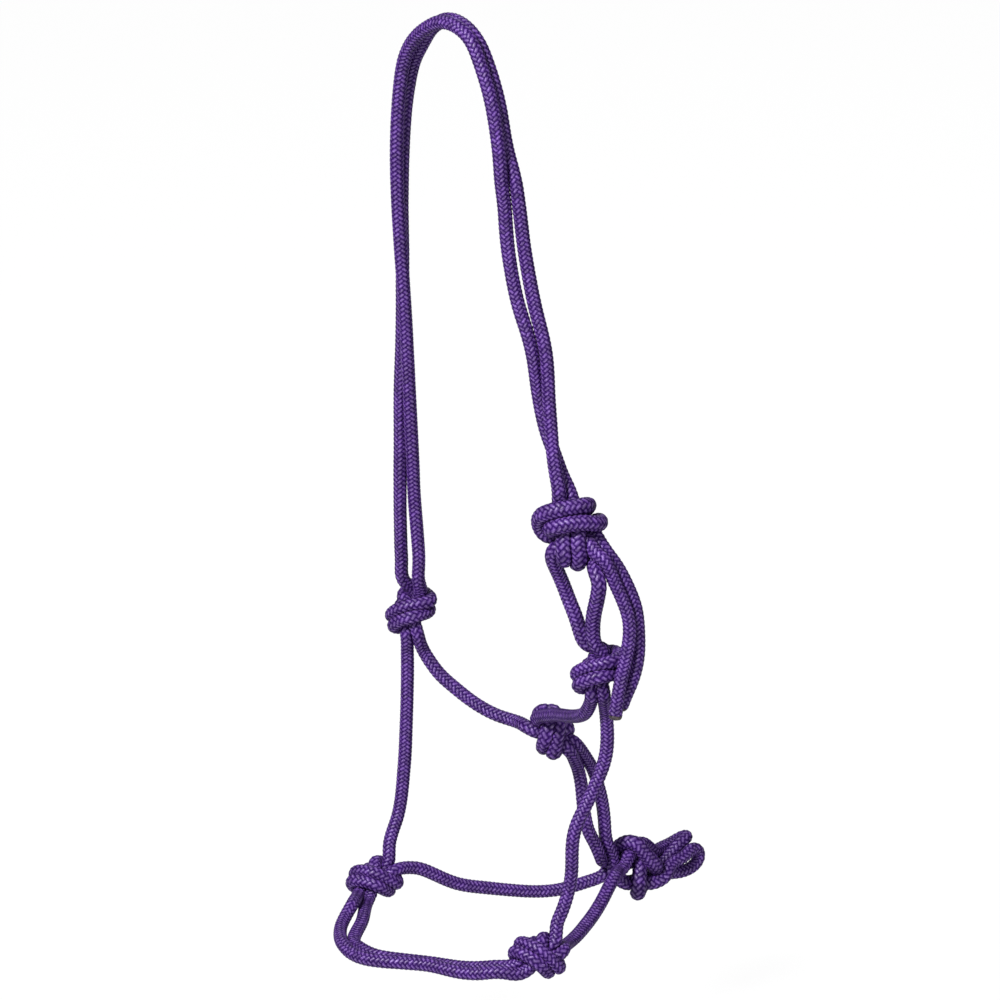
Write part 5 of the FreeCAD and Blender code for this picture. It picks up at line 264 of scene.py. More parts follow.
# piece: [(name, from, to, kind, details)]
PIECES = [
    ('far_cheek_knot_cord', 962.38, 1090.38, ['far_cheek_knot', 'far_cheek_knot_core'], {'body': 'headframe', 'join': [(3945.28, 4075.87)]}),
    ('near_cheek_knot_cord', 2295.62, 2427.12, ['near_cheek_knot', 'near_cheek_knot_core'], {'body': 'headframe', 'join': [(2570.43, 2707.63)]}),
    ('far_nose_knot_cord', 1228.07, 1361.0, ['far_nose_knot', 'far_nose_knot_core'], {'body': 'headframe', 'join': [(3183.87, 3308.26)]}),
    ('near_nose_knot_cord', 1520.39, 1650.61, ['near_nose_knot', 'near_nose_knot_core'], {'body': 'headframe', 'join': [(2866.12, 2996.59)]}),
    ('throat_knot_cord', 2074.35, 2191.02, ['throat_knot', 'throat_knot_core'], {'body': 'headframe', 'join': [(3729.34, 3850.0)]}),
    ('fiador_knot_cord', 1794.61, 1833.2, ['fiador_knot', 'fiador_knot_core'], {'body': 'headframe', 'join': [(1902.63, 1966.96), (3453.05, 3509.32), (3584.55, 3621.04)]}),
    ('crown_tie_knot_cord', 99.5, 267.4, ['crown_tie_knot', 'crown_tie_knot_core'], {'body': 'crown', 'join': [(4766.75, 4943.65)]}),
    ('far_cheek_piece_cord', 1090.38, 1228.07, ['far_cheek_piece', 'far_cheek_piece_core'], {'body': 'headframe'}),
    ('near_cheek_piece_cord', 2707.63, 2866.12, ['near_cheek_piece', 'near_cheek_piece_core'], {'body': 'headframe'}),
    ('far_chin_strand_cord', 3308.26, 3453.05, ['far_chin_strand', 'far_chin_strand_core'], {'body': 'headframe'}),
    ('near_chin_strand_cord', 1650.61, 1794.61, ['near_chin_strand', 'near_chin_strand_core'], {'body': 'headframe'}),
    ('throat_strand_front_cord', 1966.96, 2074.35, ['throat_strand_front', 'throat_strand_front_core'], {'body': 'headframe'}),
    ('throat_strand_rear_cord', 3621.04, 3729.34, ['throat_strand_rear', 'throat_strand_rear_core'], {'body': 'headframe'}),
    ('near_throatlatch_cord', 2191.02, 2295.62, ['near_throatlatch', 'near_throatlatch_core'], {'body': 'headframe'}),
    ('far_throatlatch_cord', 3850.0, 3945.28, ['far_throatlatch', 'far_throatlatch_core'], {'body': 'headframe'}),
    ('crown_strand_front_cord', 267.4, 962.38, ['crown_strand_front', 'crown_strand_front_core'], {'blend': ('headframe', 'crown', [-76.62, 34.68, 185.07], [-74.93, 32.58, 214.75])}),
    ('crown_strand_rear_cord', 4075.87, 4766.75, ['crown_strand_rear', 'crown_strand_rear_core'], {'blend': ('headframe', 'crown', [-88.48, 32.18, 183.28], [-85.07, 27.79, 212.66])}),
    ('crown_eye_loop_cord', 2427.12, 2570.43, ['crown_eye_loop', 'crown_eye_loop_core'], {'blend': ('headframe', 'crown', [81.37, 32.67, 193.47], [78.79, 29.97, 216.04])}),
    ('noseband_strand_inner_far_half', 1361.0, 1440.7, ['noseband_strand_inner', 'noseband_strand_inner_core'], {'blend': ('headframe', 'noseband', [-61.89, -20.3, -8.44], [-44.38, -36.53, -7.24])}),
    ('noseband_strand_inner_near_half', 1440.7, 1520.39, [], {'blend': ('headframe', 'noseband', [68.25, -20.62, -3.14], [48.32, -33.15, -7.01])}),
    ('noseband_strand_outer_near_half', 2996.59, 3090.23, ['noseband_strand_outer', 'noseband_strand_outer_core'], {'blend': ('headframe', 'noseband', [77.5, -20.81, -4.67], [60.09, -36.26, -5.94])}),
    ('noseband_strand_outer_far_half', 3090.23, 3183.87, [], {'blend': ('headframe', 'noseband', [-70.6, -19.69, -4.93], [-54.44, -36.65, -0.73])}),
    ('lead_loop_front_cord', 3509.32, 3584.55, ['lead_loop_front', 'lead_loop_front_core'], {'blend': ('headframe', 'front_lead_loop', [5.28, 160.11, -15.41], [4.89, 169.02, -14.2])}),
    ('lead_loop_rear_cord', 1833.2, 1902.63, ['lead_loop_rear', 'lead_loop_rear_core'], {'blend': ('headframe', 'rear_lead_loop', [-5.2, 160.85, -10.71], [-5.15, 169.43, -8.0])}),
    ('tail_rear_cord', 2.9, 99.5, ['tail_rear', 'tail_rear_core'], {'blend': ('crown', 'tails', [89.63, 39.64, 246.76], [99.87, 47.14, 226.55])}),
    ('tail_rear_melted_end', 0.0, 2.9, ['tail_rear_sealed_end'], {'body': 'tails', 'melted': 0.0}),
    ('tail_front_cord', 4943.65, 5045.25, ['tail_front', 'tail_front_core'], {'blend': ('crown', 'tails', [89.88, 31.56, 248.57], [100.25, 38.24, 229.11])}),
    ('tail_front_melted_end', 5045.25, 5048.15, ['tail_front_sealed_end'], {'body': 'tails', 'melted': 5048.15}),
]
RADIUS = 4.0            # relaxed cord, to the middle of the braid relief
AROUND = 64             # mesh points round the cord, 8 for each yarn column
STEP = 0.42             # mesh rings along the cord
COLUMNS = 8             # yarn columns of the braid
PITCH = 2.82            # usual length of one pick along the cord
LEAN = 0.43             # how far a pick leans, in picks across one column
WEAVE = 0.20            # how far a column border swings, in columns
GROOVE = 0.44           # depth of the braid relief
# (distance along the cord, pick length): the braid is pulled longer or pushed shorter
PICKS = np.array([
    (0, 2.71), (60, 2.72), (120, 2.75), (180, 2.77), (240, 2.76), (300, 2.79), (360, 2.79), (420, 2.74),
    (480, 2.73), (540, 2.78), (600, 2.95), (660, 3.01), (720, 2.97), (780, 2.98), (840, 2.98), (900, 2.9),
    (960, 2.77), (1020, 2.67), (1080, 2.58), (1140, 2.53), (1200, 2.51), (1260, 2.55), (1320, 2.73), (1380, 2.82),
    (1440, 2.84), (1500, 2.85), (1560, 2.85), (1620, 2.83), (1680, 2.82), (1740, 2.82), (1800, 2.82), (1860, 2.83),
    (1920, 2.91), (1980, 2.99), (2040, 3.0), (2100, 2.94), (2160, 2.85), (2220, 2.82), (2280, 2.83), (2340, 2.88),
    (2400, 2.95), (2460, 2.94), (2520, 2.82), (2580, 2.71), (2640, 2.72), (2700, 2.73), (2760, 2.72), (2820, 2.76),
    (2880, 2.82), (2940, 2.87), (3000, 2.89), (3060, 2.89), (3120, 2.88), (3180, 2.85), (3240, 2.73), (3300, 2.61),
    (3360, 2.61), (3420, 2.66), (3480, 2.76), (3540, 2.88), (3600, 3.0), (3660, 3.03), (3720, 2.99), (3780, 2.88),
    (3840, 2.82), (3900, 2.82), (3960, 2.84), (4020, 2.9), (4080, 2.93), (4140, 2.93), (4200, 2.94), (4260, 2.93),
    (4320, 2.96), (4380, 3.03), (4440, 3.01), (4500, 2.87), (4560, 2.8), (4620, 2.78), (4680, 2.78), (4740, 2.79),
    (4800, 2.78), (4860, 2.75), (4920, 2.64), (4980, 2.61), (5040, 2.62), (5100, 2.69),
])
# (from, to, factor): the cord opens out where it is turned tightly
SWELL = [
    (99.5, 267.4, 1.17),
    (962.4, 1090.4, 1.04),
    (1228.1, 1361.0, 1.02),
    (1520.4, 1650.6, 1.02),
    (1794.6, 1833.2, 1.16),
    (1902.6, 1967.0, 1.16),
    (2074.3, 2191.0, 1.1),
    (2295.6, 2427.1, 1.04),
    (2427.1, 2570.4, 1.1),
    (2570.4, 2707.6, 1.04),
    (2866.1, 2996.6, 1.02),
    (3183.9, 3308.3, 1.02),
    (3453.1, 3509.3, 1.16),
    (3584.6, 3621.0, 1.16),
    (3729.3, 3850.0, 1.1),
    (3945.3, 4075.9, 1.04),
    (4766.7, 4943.7, 1.17),
]


class Spline:
    """Natural cubic through the table."""
    def __init__(self, s, p):
        n = len(s)
        h = np.diff(s)
        A = np.zeros((3, n))
        rhs = np.zeros((n, 3))
        A[1, 0] = A[1, -1] = 1
        A[0, 1:-1] = h[:-1]
        A[1, 1:-1] = 2 * (h[:-1] + h[1:])
        A[2, 1:-1] = h[1:]
        d = np.diff(p, axis=0) / h[:, None]
        rhs[1:-1] = 6 * (d[1:] - d[:-1])
        c = np.zeros(n)
        x = np.zeros((n, 3))
        b = A[1].copy()
        for i in range(1, n):
            m = A[0, i] / b[i - 1]
            b[i] -= m * (A[2, i - 1] if i - 1 > 0 else 0.0)
            rhs[i] -= m * rhs[i - 1]
        x[-1] = rhs[-1] / b[-1]
        for i in range(n - 2, -1, -1):
            x[i] = (rhs[i] - (A[2, i] if i > 0 else 0.0) * x[i + 1]) / b[i]
        self.s, self.p, self.m, self.h = s, p, x, h

    def __call__(self, t, nu=0):
        t = np.asarray(t, float)
        i = np.clip(np.searchsorted(self.s, t, "right") - 1, 0, len(self.h) - 1)
        h = self.h[i][:, None]
        a = ((self.s[i + 1] - t) / self.h[i])[:, None]
        b = 1 - a
        p0, p1, m0, m1 = self.p[i], self.p[i + 1], self.m[i], self.m[i + 1]
        if nu == 0:
            return a * p0 + b * p1 + ((a ** 3 - a) * m0 + (b ** 3 - b) * m1) * h * h / 6
        if nu == 1:
            return (p1 - p0) / h + (-(3 * a * a - 1) * m0 + (3 * b * b - 1) * m1) * h / 6
        return a * m0 + b * m1


def unit(v):
    return v / np.maximum(np.linalg.norm(v, axis=-1, keepdims=True), 1e-9)


def smooth(x, sigma, axis=0, wrap=False):
    n = int(math.ceil(sigma * 3))
    k = np.exp(-0.5 * (np.arange(-n, n + 1) / sigma) ** 2)
    k /= k.sum()
    pad = [(0, 0)] * x.ndim
    pad[axis] = (n, n)
    y = np.pad(x, pad, "wrap" if wrap else "edge")
    out = np.zeros_like(x)
    for i, w in enumerate(k):
        sl = [slice(None)] * x.ndim
        sl[axis] = slice(i, i + x.shape[axis])
        out += w * y[tuple(sl)]
    return out


def hashed(a, b, seed=0.0):
    """A steady pseudo-random number from 0 to 1 for each whole pair."""
    v = np.sin(a * 127.1 + b * 311.7 + seed * 74.7) * 43758.5453
    return v - np.floor(v)


curve = Spline(LINE[:, 0], LINE[:, 1:])

# rings of the whole cord, and frames that turn as little as possible
NR = int(LENGTH / STEP) + 1
ring_s = np.linspace(0, LENGTH, NR)
C = curve(ring_s)
T = unit(curve(ring_s, 1))
N = np.zeros_like(C)
x = unit(np.cross([0.0, 0.3, 1.0], T[0]))
for i in range(NR):
    x = x - T[i] * (x @ T[i])
    x = x / math.sqrt(x @ x)
    N[i] = x
B = np.cross(T, N)
K2 = curve(ring_s, 2)
K2 = smooth(K2, 3.0)

# ------------------------------------------- how neighbours squeeze the cord
CA = 48                                     # directions tested round the cord
cs = np.arange(0, NR, 3)                    # rings tested
cth = np.arange(CA) * 2 * math.pi / CA
cdir = (np.cos(cth)[None, :, None] * N[cs][:, None, :]
        + np.sin(cth)[None, :, None] * B[cs][:, None, :])
allow = np.full((len(cs), CA), 9.0)
cc, ss = C[cs], ring_s[cs]
near = np.full(len(cs), 20.0)
for i0 in range(0, len(cs), 400):
    i1 = min(len(cs), i0 + 400)
    d = cc[None, :, :] - cc[i0:i1, None, :]
    dist = np.sqrt((d * d).sum(2))
    far = np.abs(ss[None, :] - ss[i0:i1, None]) > 11.5
    ii, jj = np.nonzero((dist < 10.5) & far)
    if len(ii) == 0:
        continue
    dd = dist[ii, jj]
    nn = d[ii, jj] / dd[:, None]
    np.minimum.at(near, ii + i0, dd)
    dots = np.einsum("kac,kc->ka", cdir[ii + i0], nn)
    lim = np.where(dots > 0.05, (dd * 0.5 - 0.03)[:, None] / np.maximum(dots, 0.05), 9.0)
    for a in range(CA):
        np.minimum.at(allow[:, a], ii + i0, lim[:, a])
# the inside of a tight bend
kap = np.linalg.norm(K2[cs], axis=1)
kn = unit(K2[cs])
dots = np.einsum("iac,ic->ia", cdir, kn)
lim = np.where(dots > 0.05, (0.86 / np.maximum(kap, 1e-4))[:, None] / np.maximum(dots, 0.05), 9.0)
allow = np.minimum(allow, lim)
free = allow.copy()
squeezed = smooth(np.clip((8.0 - near) / 1.2, 0, 1), 4.0)
swell = np.ones(len(cs))
for s0, s1, f in SWELL:
    swell[(ss > s0) & (ss < s1)] = f
swell = smooth(swell, 4.0)
area0 = math.pi * (RADIUS * swell) ** 2 * (1 - 0.10 * squeezed)
lo = np.full(len(cs), 0.75)
hi = 1.24 * swell
for it in range(14):
    mid = (lo + hi) / 2
    rho = np.minimum(RADIUS * mid[:, None], allow)
    area = (0.5 * rho * rho).sum(1) * (2 * math.pi / CA)
    big = area > area0
    hi = np.where(big, mid, hi)
    lo = np.where(big, lo, mid)
mid = smooth((lo + hi) / 2, 2.0)
rho = np.minimum(RADIUS * mid[:, None], allow)
rho = smooth(smooth(rho, 1.2, 0), 1.0, 1, wrap=True)
rho = np.minimum(rho, free + 0.04)
rho = smooth(rho, 0.7, 0)
# soft unevenness of a used cord
wob = 1 + 0.012 * np.sin(ss / 23.0 + 1.3) + 0.010 * np.sin(ss / 9.7 + 0.4)
rho = rho * np.where(squeezed[:, None] > 0.3, 1.0, wob[:, None])
# painted shade mask for the creases where strands meet
crease_shade = np.clip((allow - rho) / 0.9, 0, 1)
crease_shade = smooth(smooth(crease_shade, 1.0, 0), 1.0, 1, wrap=True)


def sample(table, rings, turn):
    """Bilinear lookup at ring index and angle (radians)."""
    f = rings / 3.0
    i0 = np.clip(np.floor(f).astype(int), 0, len(cs) - 1)
    i1 = np.clip(i0 + 1, 0, len(cs) - 1)
    fi = np.clip(f - i0, 0, 1)[:, None]
    g = (turn / (2 * math.pi) % 1.0) * CA
    j0 = np.floor(g).astype(int) % CA
    j1 = (j0 + 1) % CA
    fj = (g - np.floor(g))[None, :]
    return ((table[i0][:, j0] * (1 - fj) + table[i0][:, j1] * fj) * (1 - fi)
            + (table[i1][:, j0] * (1 - fj) + table[i1][:, j1] * fj) * fi)


FINE = [
    (2166.0, 2301.6),
    (1660.6, 1789.6),
]


def fine_amount(s):
    """1 where the cord shows its tighter, finely ribbed lie."""
    out = np.zeros_like(s)
    for a, b in FINE:
        out = np.maximum(out, np.clip((s - a) / 14.0, 0, 1) * np.clip((b - s) / 14.0, 0, 1))
    return out


PICK_S = np.arange(0.0, LENGTH + 5.0, 4.0)
PICK_N = np.concatenate([[0.0], np.cumsum(4.0 / np.interp(PICK_S[:-1] + 2.0, PICKS[:, 0], PICKS[:, 1]))])


def braid(s, th):
    """Relief from 0 to 1, pick number, place across and along the yarn."""
    col = th / (2 * math.pi) * COLUMNS
    y = np.interp(s, PICK_S, PICK_N)

    def border(m):
        # a column bulges between the picks of the one beside it
        peak = np.where(m % 2 == 0, 0.5 * LEAN, 0.5 - 0.5 * LEAN)
        return m + WEAVE * np.cos(2 * math.pi * (y - peak))
    k = np.floor(col)
    k = k + (col >= border(k + 1)) - (col < border(k))
    left, right = border(k), border(k + 1)
    u = (col - left) / (right - left) - 0.5
    sign = np.where(k % 2 == 0, 1.0, -1.0)
    v = y + sign * LEAN * (col - k - 0.5) + 0.5 * (k % 2)
    pick = np.floor(v)
    w = v - pick - 0.5
    # a plump pick, tucked under its neighbour at one end
    uu = np.clip(np.abs(2 * u), 0, 1)
    ww = np.abs(2 * w)
    relief = (1 - uu ** 2.2) * (1 - 0.86 * ww ** 2.5)
    tuck = 0.16 * (sign * u) * 2
    relief = np.clip(relief * (0.92 + tuck), 0, 1)
    return relief, k % COLUMNS, pick, u, w, sign


def tube(name, a, b, melted=None):
    """One stretch of the cord as a closed mesh, with its relief and paint values."""
    i0, i1 = a / LENGTH * (NR - 1), b / LENGTH * (NR - 1)
    n = max(4, int(math.ceil(i1 - i0)) + 1)
    rings = np.linspace(i0, i1, n)
    s = rings / (NR - 1) * LENGTH
    c = curve(s)
    t = unit(curve(s, 1))
    fl = np.clip(np.floor(rings).astype(int), 0, NR - 2)
    fr = (rings - fl)[:, None]
    nn = N[fl] * (1 - fr) + N[fl + 1] * fr
    nn = unit(nn - t * (nn * t).sum(1)[:, None])
    bb = np.cross(t, nn)
    th = np.arange(AROUND) * 2 * math.pi / AROUND
    r = sample(rho, rings, th)
    # painted crease shade, sampled onto the rings
    crease_shade_at = sample(crease_shade, rings, th)
    S_, TH = np.meshgrid(s, th, indexing="ij")
    relief, k, pick, u, w, sign = braid(S_, TH)
    fine = fine_amount(S_)
    depth = GROOVE * (1 - 0.55 * fine)
    if melted is None:
        rr = r + 0.15 - depth * (1 - relief)
        rr += 0.05 * (hashed(k, pick) - 0.5) * relief
    else:
        # heat-sealed end: relief melts away towards the tip
        far = np.abs(S_ - melted) / max(1e-6, abs(b - a))
        keep = np.clip((far - 0.55) / 0.45, 0, 1) ** 1.5
        lump = (0.10 * np.sin(3 * TH + 1.0) + 0.07 * np.sin(5 * TH + S_ * 0.9)
                + 0.06 * np.sin(2 * TH - S_ * 1.7))
        end = np.sqrt(np.clip(1 - np.clip(1 - np.abs(S_ - melted) / 2.6, 0, 1) ** 2.2, 0.0, 1))
        rr = (RADIUS * 0.97 + 0.13 * keep - depth * (1 - relief) * keep + lump) * (0.18 + 0.82 * end)
    P = c[:, None, :] + rr[:, :, None] * (np.cos(th)[None, :, None] * nn[:, None, :]
                                          + np.sin(th)[None, :, None] * bb[:, None, :])
    V = P.reshape(-1, 3)
    V = np.vstack([V, c[:1], c[-1:]]) / 1000.0
    idx = np.arange(n * AROUND).reshape(n, AROUND)
    nxt = np.roll(idx, -1, 1)
    quads = np.stack([idx[:-1], nxt[:-1], nxt[1:], idx[1:]], -1).reshape(-1, 4)
    c0, c1 = n * AROUND, n * AROUND + 1
    cap0 = np.stack([np.full(AROUND, c0), nxt[0], idx[0]], 1)
    cap1 = np.stack([np.full(AROUND, c1), idx[-1], nxt[-1]], 1)
    loops = np.concatenate([quads.ravel(), cap0.ravel(), cap1.ravel()])
    starts = np.concatenate([np.arange(len(quads)) * 4, len(quads) * 4 + np.arange(2 * AROUND) * 3])
    me = bpy.data.meshes.new(name)
    me.vertices.add(len(V))
    me.loops.add(len(loops))
    me.polygons.add(len(starts))
    me.vertices.foreach_set("co", V.astype(np.float32).ravel())
    me.loops.foreach_set("vertex_index", loops.astype(np.int32))
    me.polygons.foreach_set("loop_start", starts.astype(np.int32))
    me.update(calc_edges=True)
    me.polygons.foreach_set("use_smooth", np.concatenate([np.ones(len(quads), bool), np.zeros(2 * AROUND, bool)]))

    def put(nm, val, kind="FLOAT"):
        at = me.attributes.new(nm, kind, "POINT")
        at.data.foreach_set("value" if kind == "FLOAT" else "vector", val.astype(np.float32).ravel())
    two = np.zeros(2)
    put("relief", np.append(relief.ravel(), two))
    put("pick_tone", np.append(hashed(k, pick, 3.0).ravel(), two))
    # painted crease shade, stored for the material
    put("crease_shade", np.append(crease_shade_at.ravel(), two))
    put("fine", np.append(fine.ravel(), two))
    put("along", np.append((S_ / LENGTH).ravel(), two))
    ang = 0.50 * sign
    a_ = u * (2 * math.pi * RADIUS / COLUMNS)
    b_ = w * PITCH
    across = a_ * np.cos(ang) - b_ * np.sin(ang)
    length = a_ * np.sin(ang) + b_ * np.cos(ang)
    fib = np.stack([across, length, k * 7.31 + pick * 3.17], -1).reshape(-1, 3)
    put("fibre", np.vstack([fib, [[0, 0, 0], [0, 0, 0]]]), "FLOAT_VECTOR")
    # unfolded layout: the cord is cut into rows, stacked in the square
    L, W = b - a, 2 * math.pi * 4.2
    rows = max(1, int(round(math.sqrt(L / W))))
    uv = me.uv_layers.new(name="OFBake")
    nq = n - 1
    qi = np.arange(nq)
    row = np.minimum((qi * rows) // nq, rows - 1)
    first = np.array([np.argmax(row == q) for q in range(rows)])
    count = np.array([(row == q).sum() for q in range(rows)])
    wid = count.max()
    x0 = 0.01 + 0.98 * (qi - first[row]) / wid
    x1 = 0.01 + 0.98 * (qi + 1 - first[row]) / wid
    y0, y1 = row * 0.94 / rows + 0.008, (row + 1) * 0.94 / rows - 0.004
    f0 = np.arange(AROUND) / AROUND
    f1 = (np.arange(AROUND) + 1) / AROUND
    X0 = np.repeat(x0, AROUND).reshape(nq, AROUND)
    X1 = np.repeat(x1, AROUND).reshape(nq, AROUND)
    Y0 = y0[:, None] + (y1 - y0)[:, None] * f0[None, :]
    Y1 = y0[:, None] + (y1 - y0)[:, None] * f1[None, :]
    quv = np.stack([np.stack([X0, Y0], -1), np.stack([X0, Y1], -1),
                    np.stack([X1, Y1], -1), np.stack([X1, Y0], -1)], 2).reshape(-1, 2)
    def fan(cx, sgn):
        q = np.zeros((AROUND, 3, 2))
        p0 = np.stack([np.cos(th), np.sin(th)], 1) * 0.018
        p1 = np.roll(p0, -1, 0)
        q[:, 0] = [cx, 0.972]
        q[:, 1] = (p1 if sgn > 0 else p0) + [cx, 0.972]
        q[:, 2] = (p0 if sgn > 0 else p1) + [cx, 0.972]
        return q.reshape(-1, 2)
    alluv = np.vstack([quv, fan(0.03, 1), fan(0.08, -1)])
    uv.data.foreach_set("uv", alluv.astype(np.float32).ravel())
    ob = bpy.data.objects.new(name, me)
    bpy.context.scene.collection.objects.link(ob)
    return ob


# ------------------------------------------------------------------ materials
def nodes_of(mat):
    mat.use_nodes = True
    nt = mat.node_tree
    nt.nodes.clear()
    return nt, nt.nodes.new, nt.links.new


def srgb(r, g, b):
    f = lambda c: (c / 255 / 12.92) if c / 255 <= 0.04045 else ((c / 255 + 0.055) / 1.055) ** 2.4
    return (f(r), f(g), f(b), 1.0)


def cord_material():
    mat = bpy.data.materials.new("braided_cord_violet")
    nt, new, link = nodes_of(mat)
    out = new("ShaderNodeOutputMaterial")
    bsdf = new("ShaderNodeBsdfPrincipled")
    link(bsdf.outputs[0], out.inputs[0])

    def attr(name):
        a = new("ShaderNodeAttribute")
        a.attribute_name = name
        return a

    def math_(op, a, b=None, clamp=False):
        m = new("ShaderNodeMath")
        m.operation = op
        m.use_clamp = clamp
        for i, v in enumerate((a, b)):
            if v is None:
                continue
            if isinstance(v, (int, float)):
                m.inputs[i].default_value = v
            else:
                link(v, m.inputs[i])
        return m.outputs[0]

    def mix(fac, a, b, kind="MIX"):
        m = new("ShaderNodeMix")
        m.data_type = "RGBA"
        m.blend_type = kind
        if isinstance(fac, (int, float)):
            m.inputs[0].default_value = fac
        else:
            link(fac, m.inputs[0])
        for i, v in ((6, a), (7, b)):
            if isinstance(v, tuple):
                m.inputs[i].default_value = v
            else:
                link(v, m.inputs[i])
        return m.outputs[2]

    # crease_shade_node carries the painted crease shade
    relief, tone, crease_shade_node, fib = attr("relief"), attr("pick_tone"), attr("crease_shade"), attr("fibre")
    along = attr("along")
    # filaments run along each yarn
    vm = new("ShaderNodeVectorMath")
    vm.operation = "MULTIPLY"
    link(fib.outputs["Vector"], vm.inputs[0])
    vm.inputs[1].default_value = (3.4, 0.55, 1.0)
    fil = new("ShaderNodeTexNoise")
    fil.inputs["Scale"].default_value = 1.0
    fil.inputs["Detail"].default_value = 3.0
    fil.inputs["Roughness"].default_value = 0.6
    link(vm.outputs[0], fil.inputs["Vector"])
    # slow changes of shade along the cord
    tc = new("ShaderNodeTexCoord")
    slow = new("ShaderNodeTexNoise")
    slow.inputs["Scale"].default_value = 38.0
    slow.inputs["Detail"].default_value = 2.0
    link(tc.outputs["Object"], slow.inputs["Vector"])

    # painted light: the relief drives the colour from painted shade in the gaps, through the pick colour, to a
    # painted highlight on the crest
    ramp = new("ShaderNodeValToRGB")
    ramp.color_ramp.interpolation = "EASE"
    e = ramp.color_ramp.elements
    e[0].position, e[0].color = 0.0, srgb(*GAP_SHADE_COLOUR)
    e[1].position, e[1].color = 0.52, srgb(*PICK_COLOUR)
    m = e.new(0.15)
    m.color = srgb(*MID_SHADE_COLOUR)
    m = e.new(1.0)
    m.color = srgb(*CREST_HIGHLIGHT_COLOUR)
    link(relief.outputs["Fac"], ramp.inputs["Fac"])
    col = ramp.outputs["Color"]
    # each pick its own shade
    shade = new("ShaderNodeMapRange")
    shade.inputs["From Min"].default_value = 0.0
    shade.inputs["From Max"].default_value = 1.0
    shade.inputs["To Min"].default_value = 0.70
    shade.inputs["To Max"].default_value = 1.30
    link(tone.outputs["Fac"], shade.inputs["Value"])
    fs = new("ShaderNodeMapRange")
    fs.inputs["From Min"].default_value = 0.25
    fs.inputs["From Max"].default_value = 0.75
    fs.inputs["To Min"].default_value = 0.66
    fs.inputs["To Max"].default_value = 1.34
    link(fil.outputs["Fac"], fs.inputs["Value"])
    ls = new("ShaderNodeMapRange")
    ls.inputs["From Min"].default_value = 0.3
    ls.inputs["From Max"].default_value = 0.7
    ls.inputs["To Min"].default_value = 0.90
    ls.inputs["To Max"].default_value = 1.10
    link(slow.outputs["Fac"], ls.inputs["Value"])
    gain = math_("MULTIPLY", math_("MULTIPLY", shade.outputs[0], fs.outputs[0]), ls.outputs[0])
    sc = new("ShaderNodeVectorMath")
    sc.operation = "SCALE"
    link(col, sc.inputs[0])
    link(gain, sc.inputs["Scale"])
    # painted highlight: a few pale filament streaks, strongest on the pick crests
    pale_highlight = math_("MULTIPLY", math_("GREATER_THAN", fil.outputs["Fac"], 0.57), math_("POWER", relief.outputs["Fac"], 2.0))
    col2 = mix(math_("MULTIPLY", pale_highlight, 0.40), sc.outputs[0], srgb(*PALE_HIGHLIGHT_COLOUR))
    # painted shade where strands press together; its weight is zero here, so the colour is left as it is
    dark = mix(math_("MULTIPLY", crease_shade_node.outputs["Fac"], 0.0), col2, srgb(*GAP_SHADE_COLOUR))
    # painted shade: the base colour is darkened edge-on, where each pick hides behind the next
    lw = new("ShaderNodeLayerWeight")
    lw.inputs["Blend"].default_value = 0.5
    edge = math_("MULTIPLY", math_("POWER", lw.outputs["Facing"], 3.0), 0.5)
    link(mix(edge, dark, srgb(*GAP_SHADE_COLOUR)), bsdf.inputs["Base Color"])
    rough = new("ShaderNodeMapRange")
    rough.inputs["To Min"].default_value = 0.30
    rough.inputs["To Max"].default_value = 0.52
    link(fil.outputs["Fac"], rough.inputs["Value"])
    link(rough.outputs[0], bsdf.inputs["Roughness"])
    shine = math_("MULTIPLY", math_("POWER", relief.outputs["Fac"], 2.2), 0.80)
    link(math_("MULTIPLY", shine, math_("SUBTRACT", 1.0, lw.outputs["Facing"])), bsdf.inputs["Specular IOR Level"])
    bsdf.inputs["Sheen Weight"].default_value = 0.01
    bsdf.inputs["Sheen Roughness"].default_value = 0.45
    bsdf.inputs["Sheen Tint"].default_value = srgb(150, 110, 200)
    bump = new("ShaderNodeBump")
    bump.inputs["Strength"].default_value = 0.55
    bump.inputs["Distance"].default_value = 0.00012
    link(fil.outputs["Fac"], bump.inputs["Height"])
    link(bump.outputs[0], bsdf.inputs["Normal"])
    return mat


def melted_material():
    mat = bpy.data.materials.new("melted_cord_end")
    nt, new, link = nodes_of(mat)
    out = new("ShaderNodeOutputMaterial")
    bsdf = new("ShaderNodeBsdfPrincipled")
    link(bsdf.outputs[0], out.inputs[0])
    tc = new("ShaderNodeTexCoord")
    n1 = new("ShaderNodeTexNoise")
    n1.inputs["Scale"].default_value = 420.0
    n1.inputs["Detail"].default_value = 4.0
    link(tc.outputs["Object"], n1.inputs["Vector"])
    ramp = new("ShaderNodeValToRGB")
    e = ramp.color_ramp.elements
    e[0].position, e[0].color = 0.30, srgb(30, 24, 28)
    e[1].position, e[1].color = 0.72, srgb(96, 86, 74)
    m = e.new(0.5)
    m.color = srgb(54, 42, 54)
    link(n1.outputs["Fac"], ramp.inputs["Fac"])
    link(ramp.outputs["Color"], bsdf.inputs["Base Color"])
    r = new("ShaderNodeMapRange")
    r.inputs["To Min"].default_value = 0.28
    r.inputs["To Max"].default_value = 0.55
    link(n1.outputs["Fac"], r.inputs["Value"])
    link(r.outputs[0], bsdf.inputs["Roughness"])
    bump = new("ShaderNodeBump")
    bump.inputs["Strength"].default_value = 0.5
    bump.inputs["Distance"].default_value = 0.0003
    link(n1.outputs["Fac"], bump.inputs["Height"])
    link(bump.outputs[0], bsdf.inputs["Normal"])
    return mat


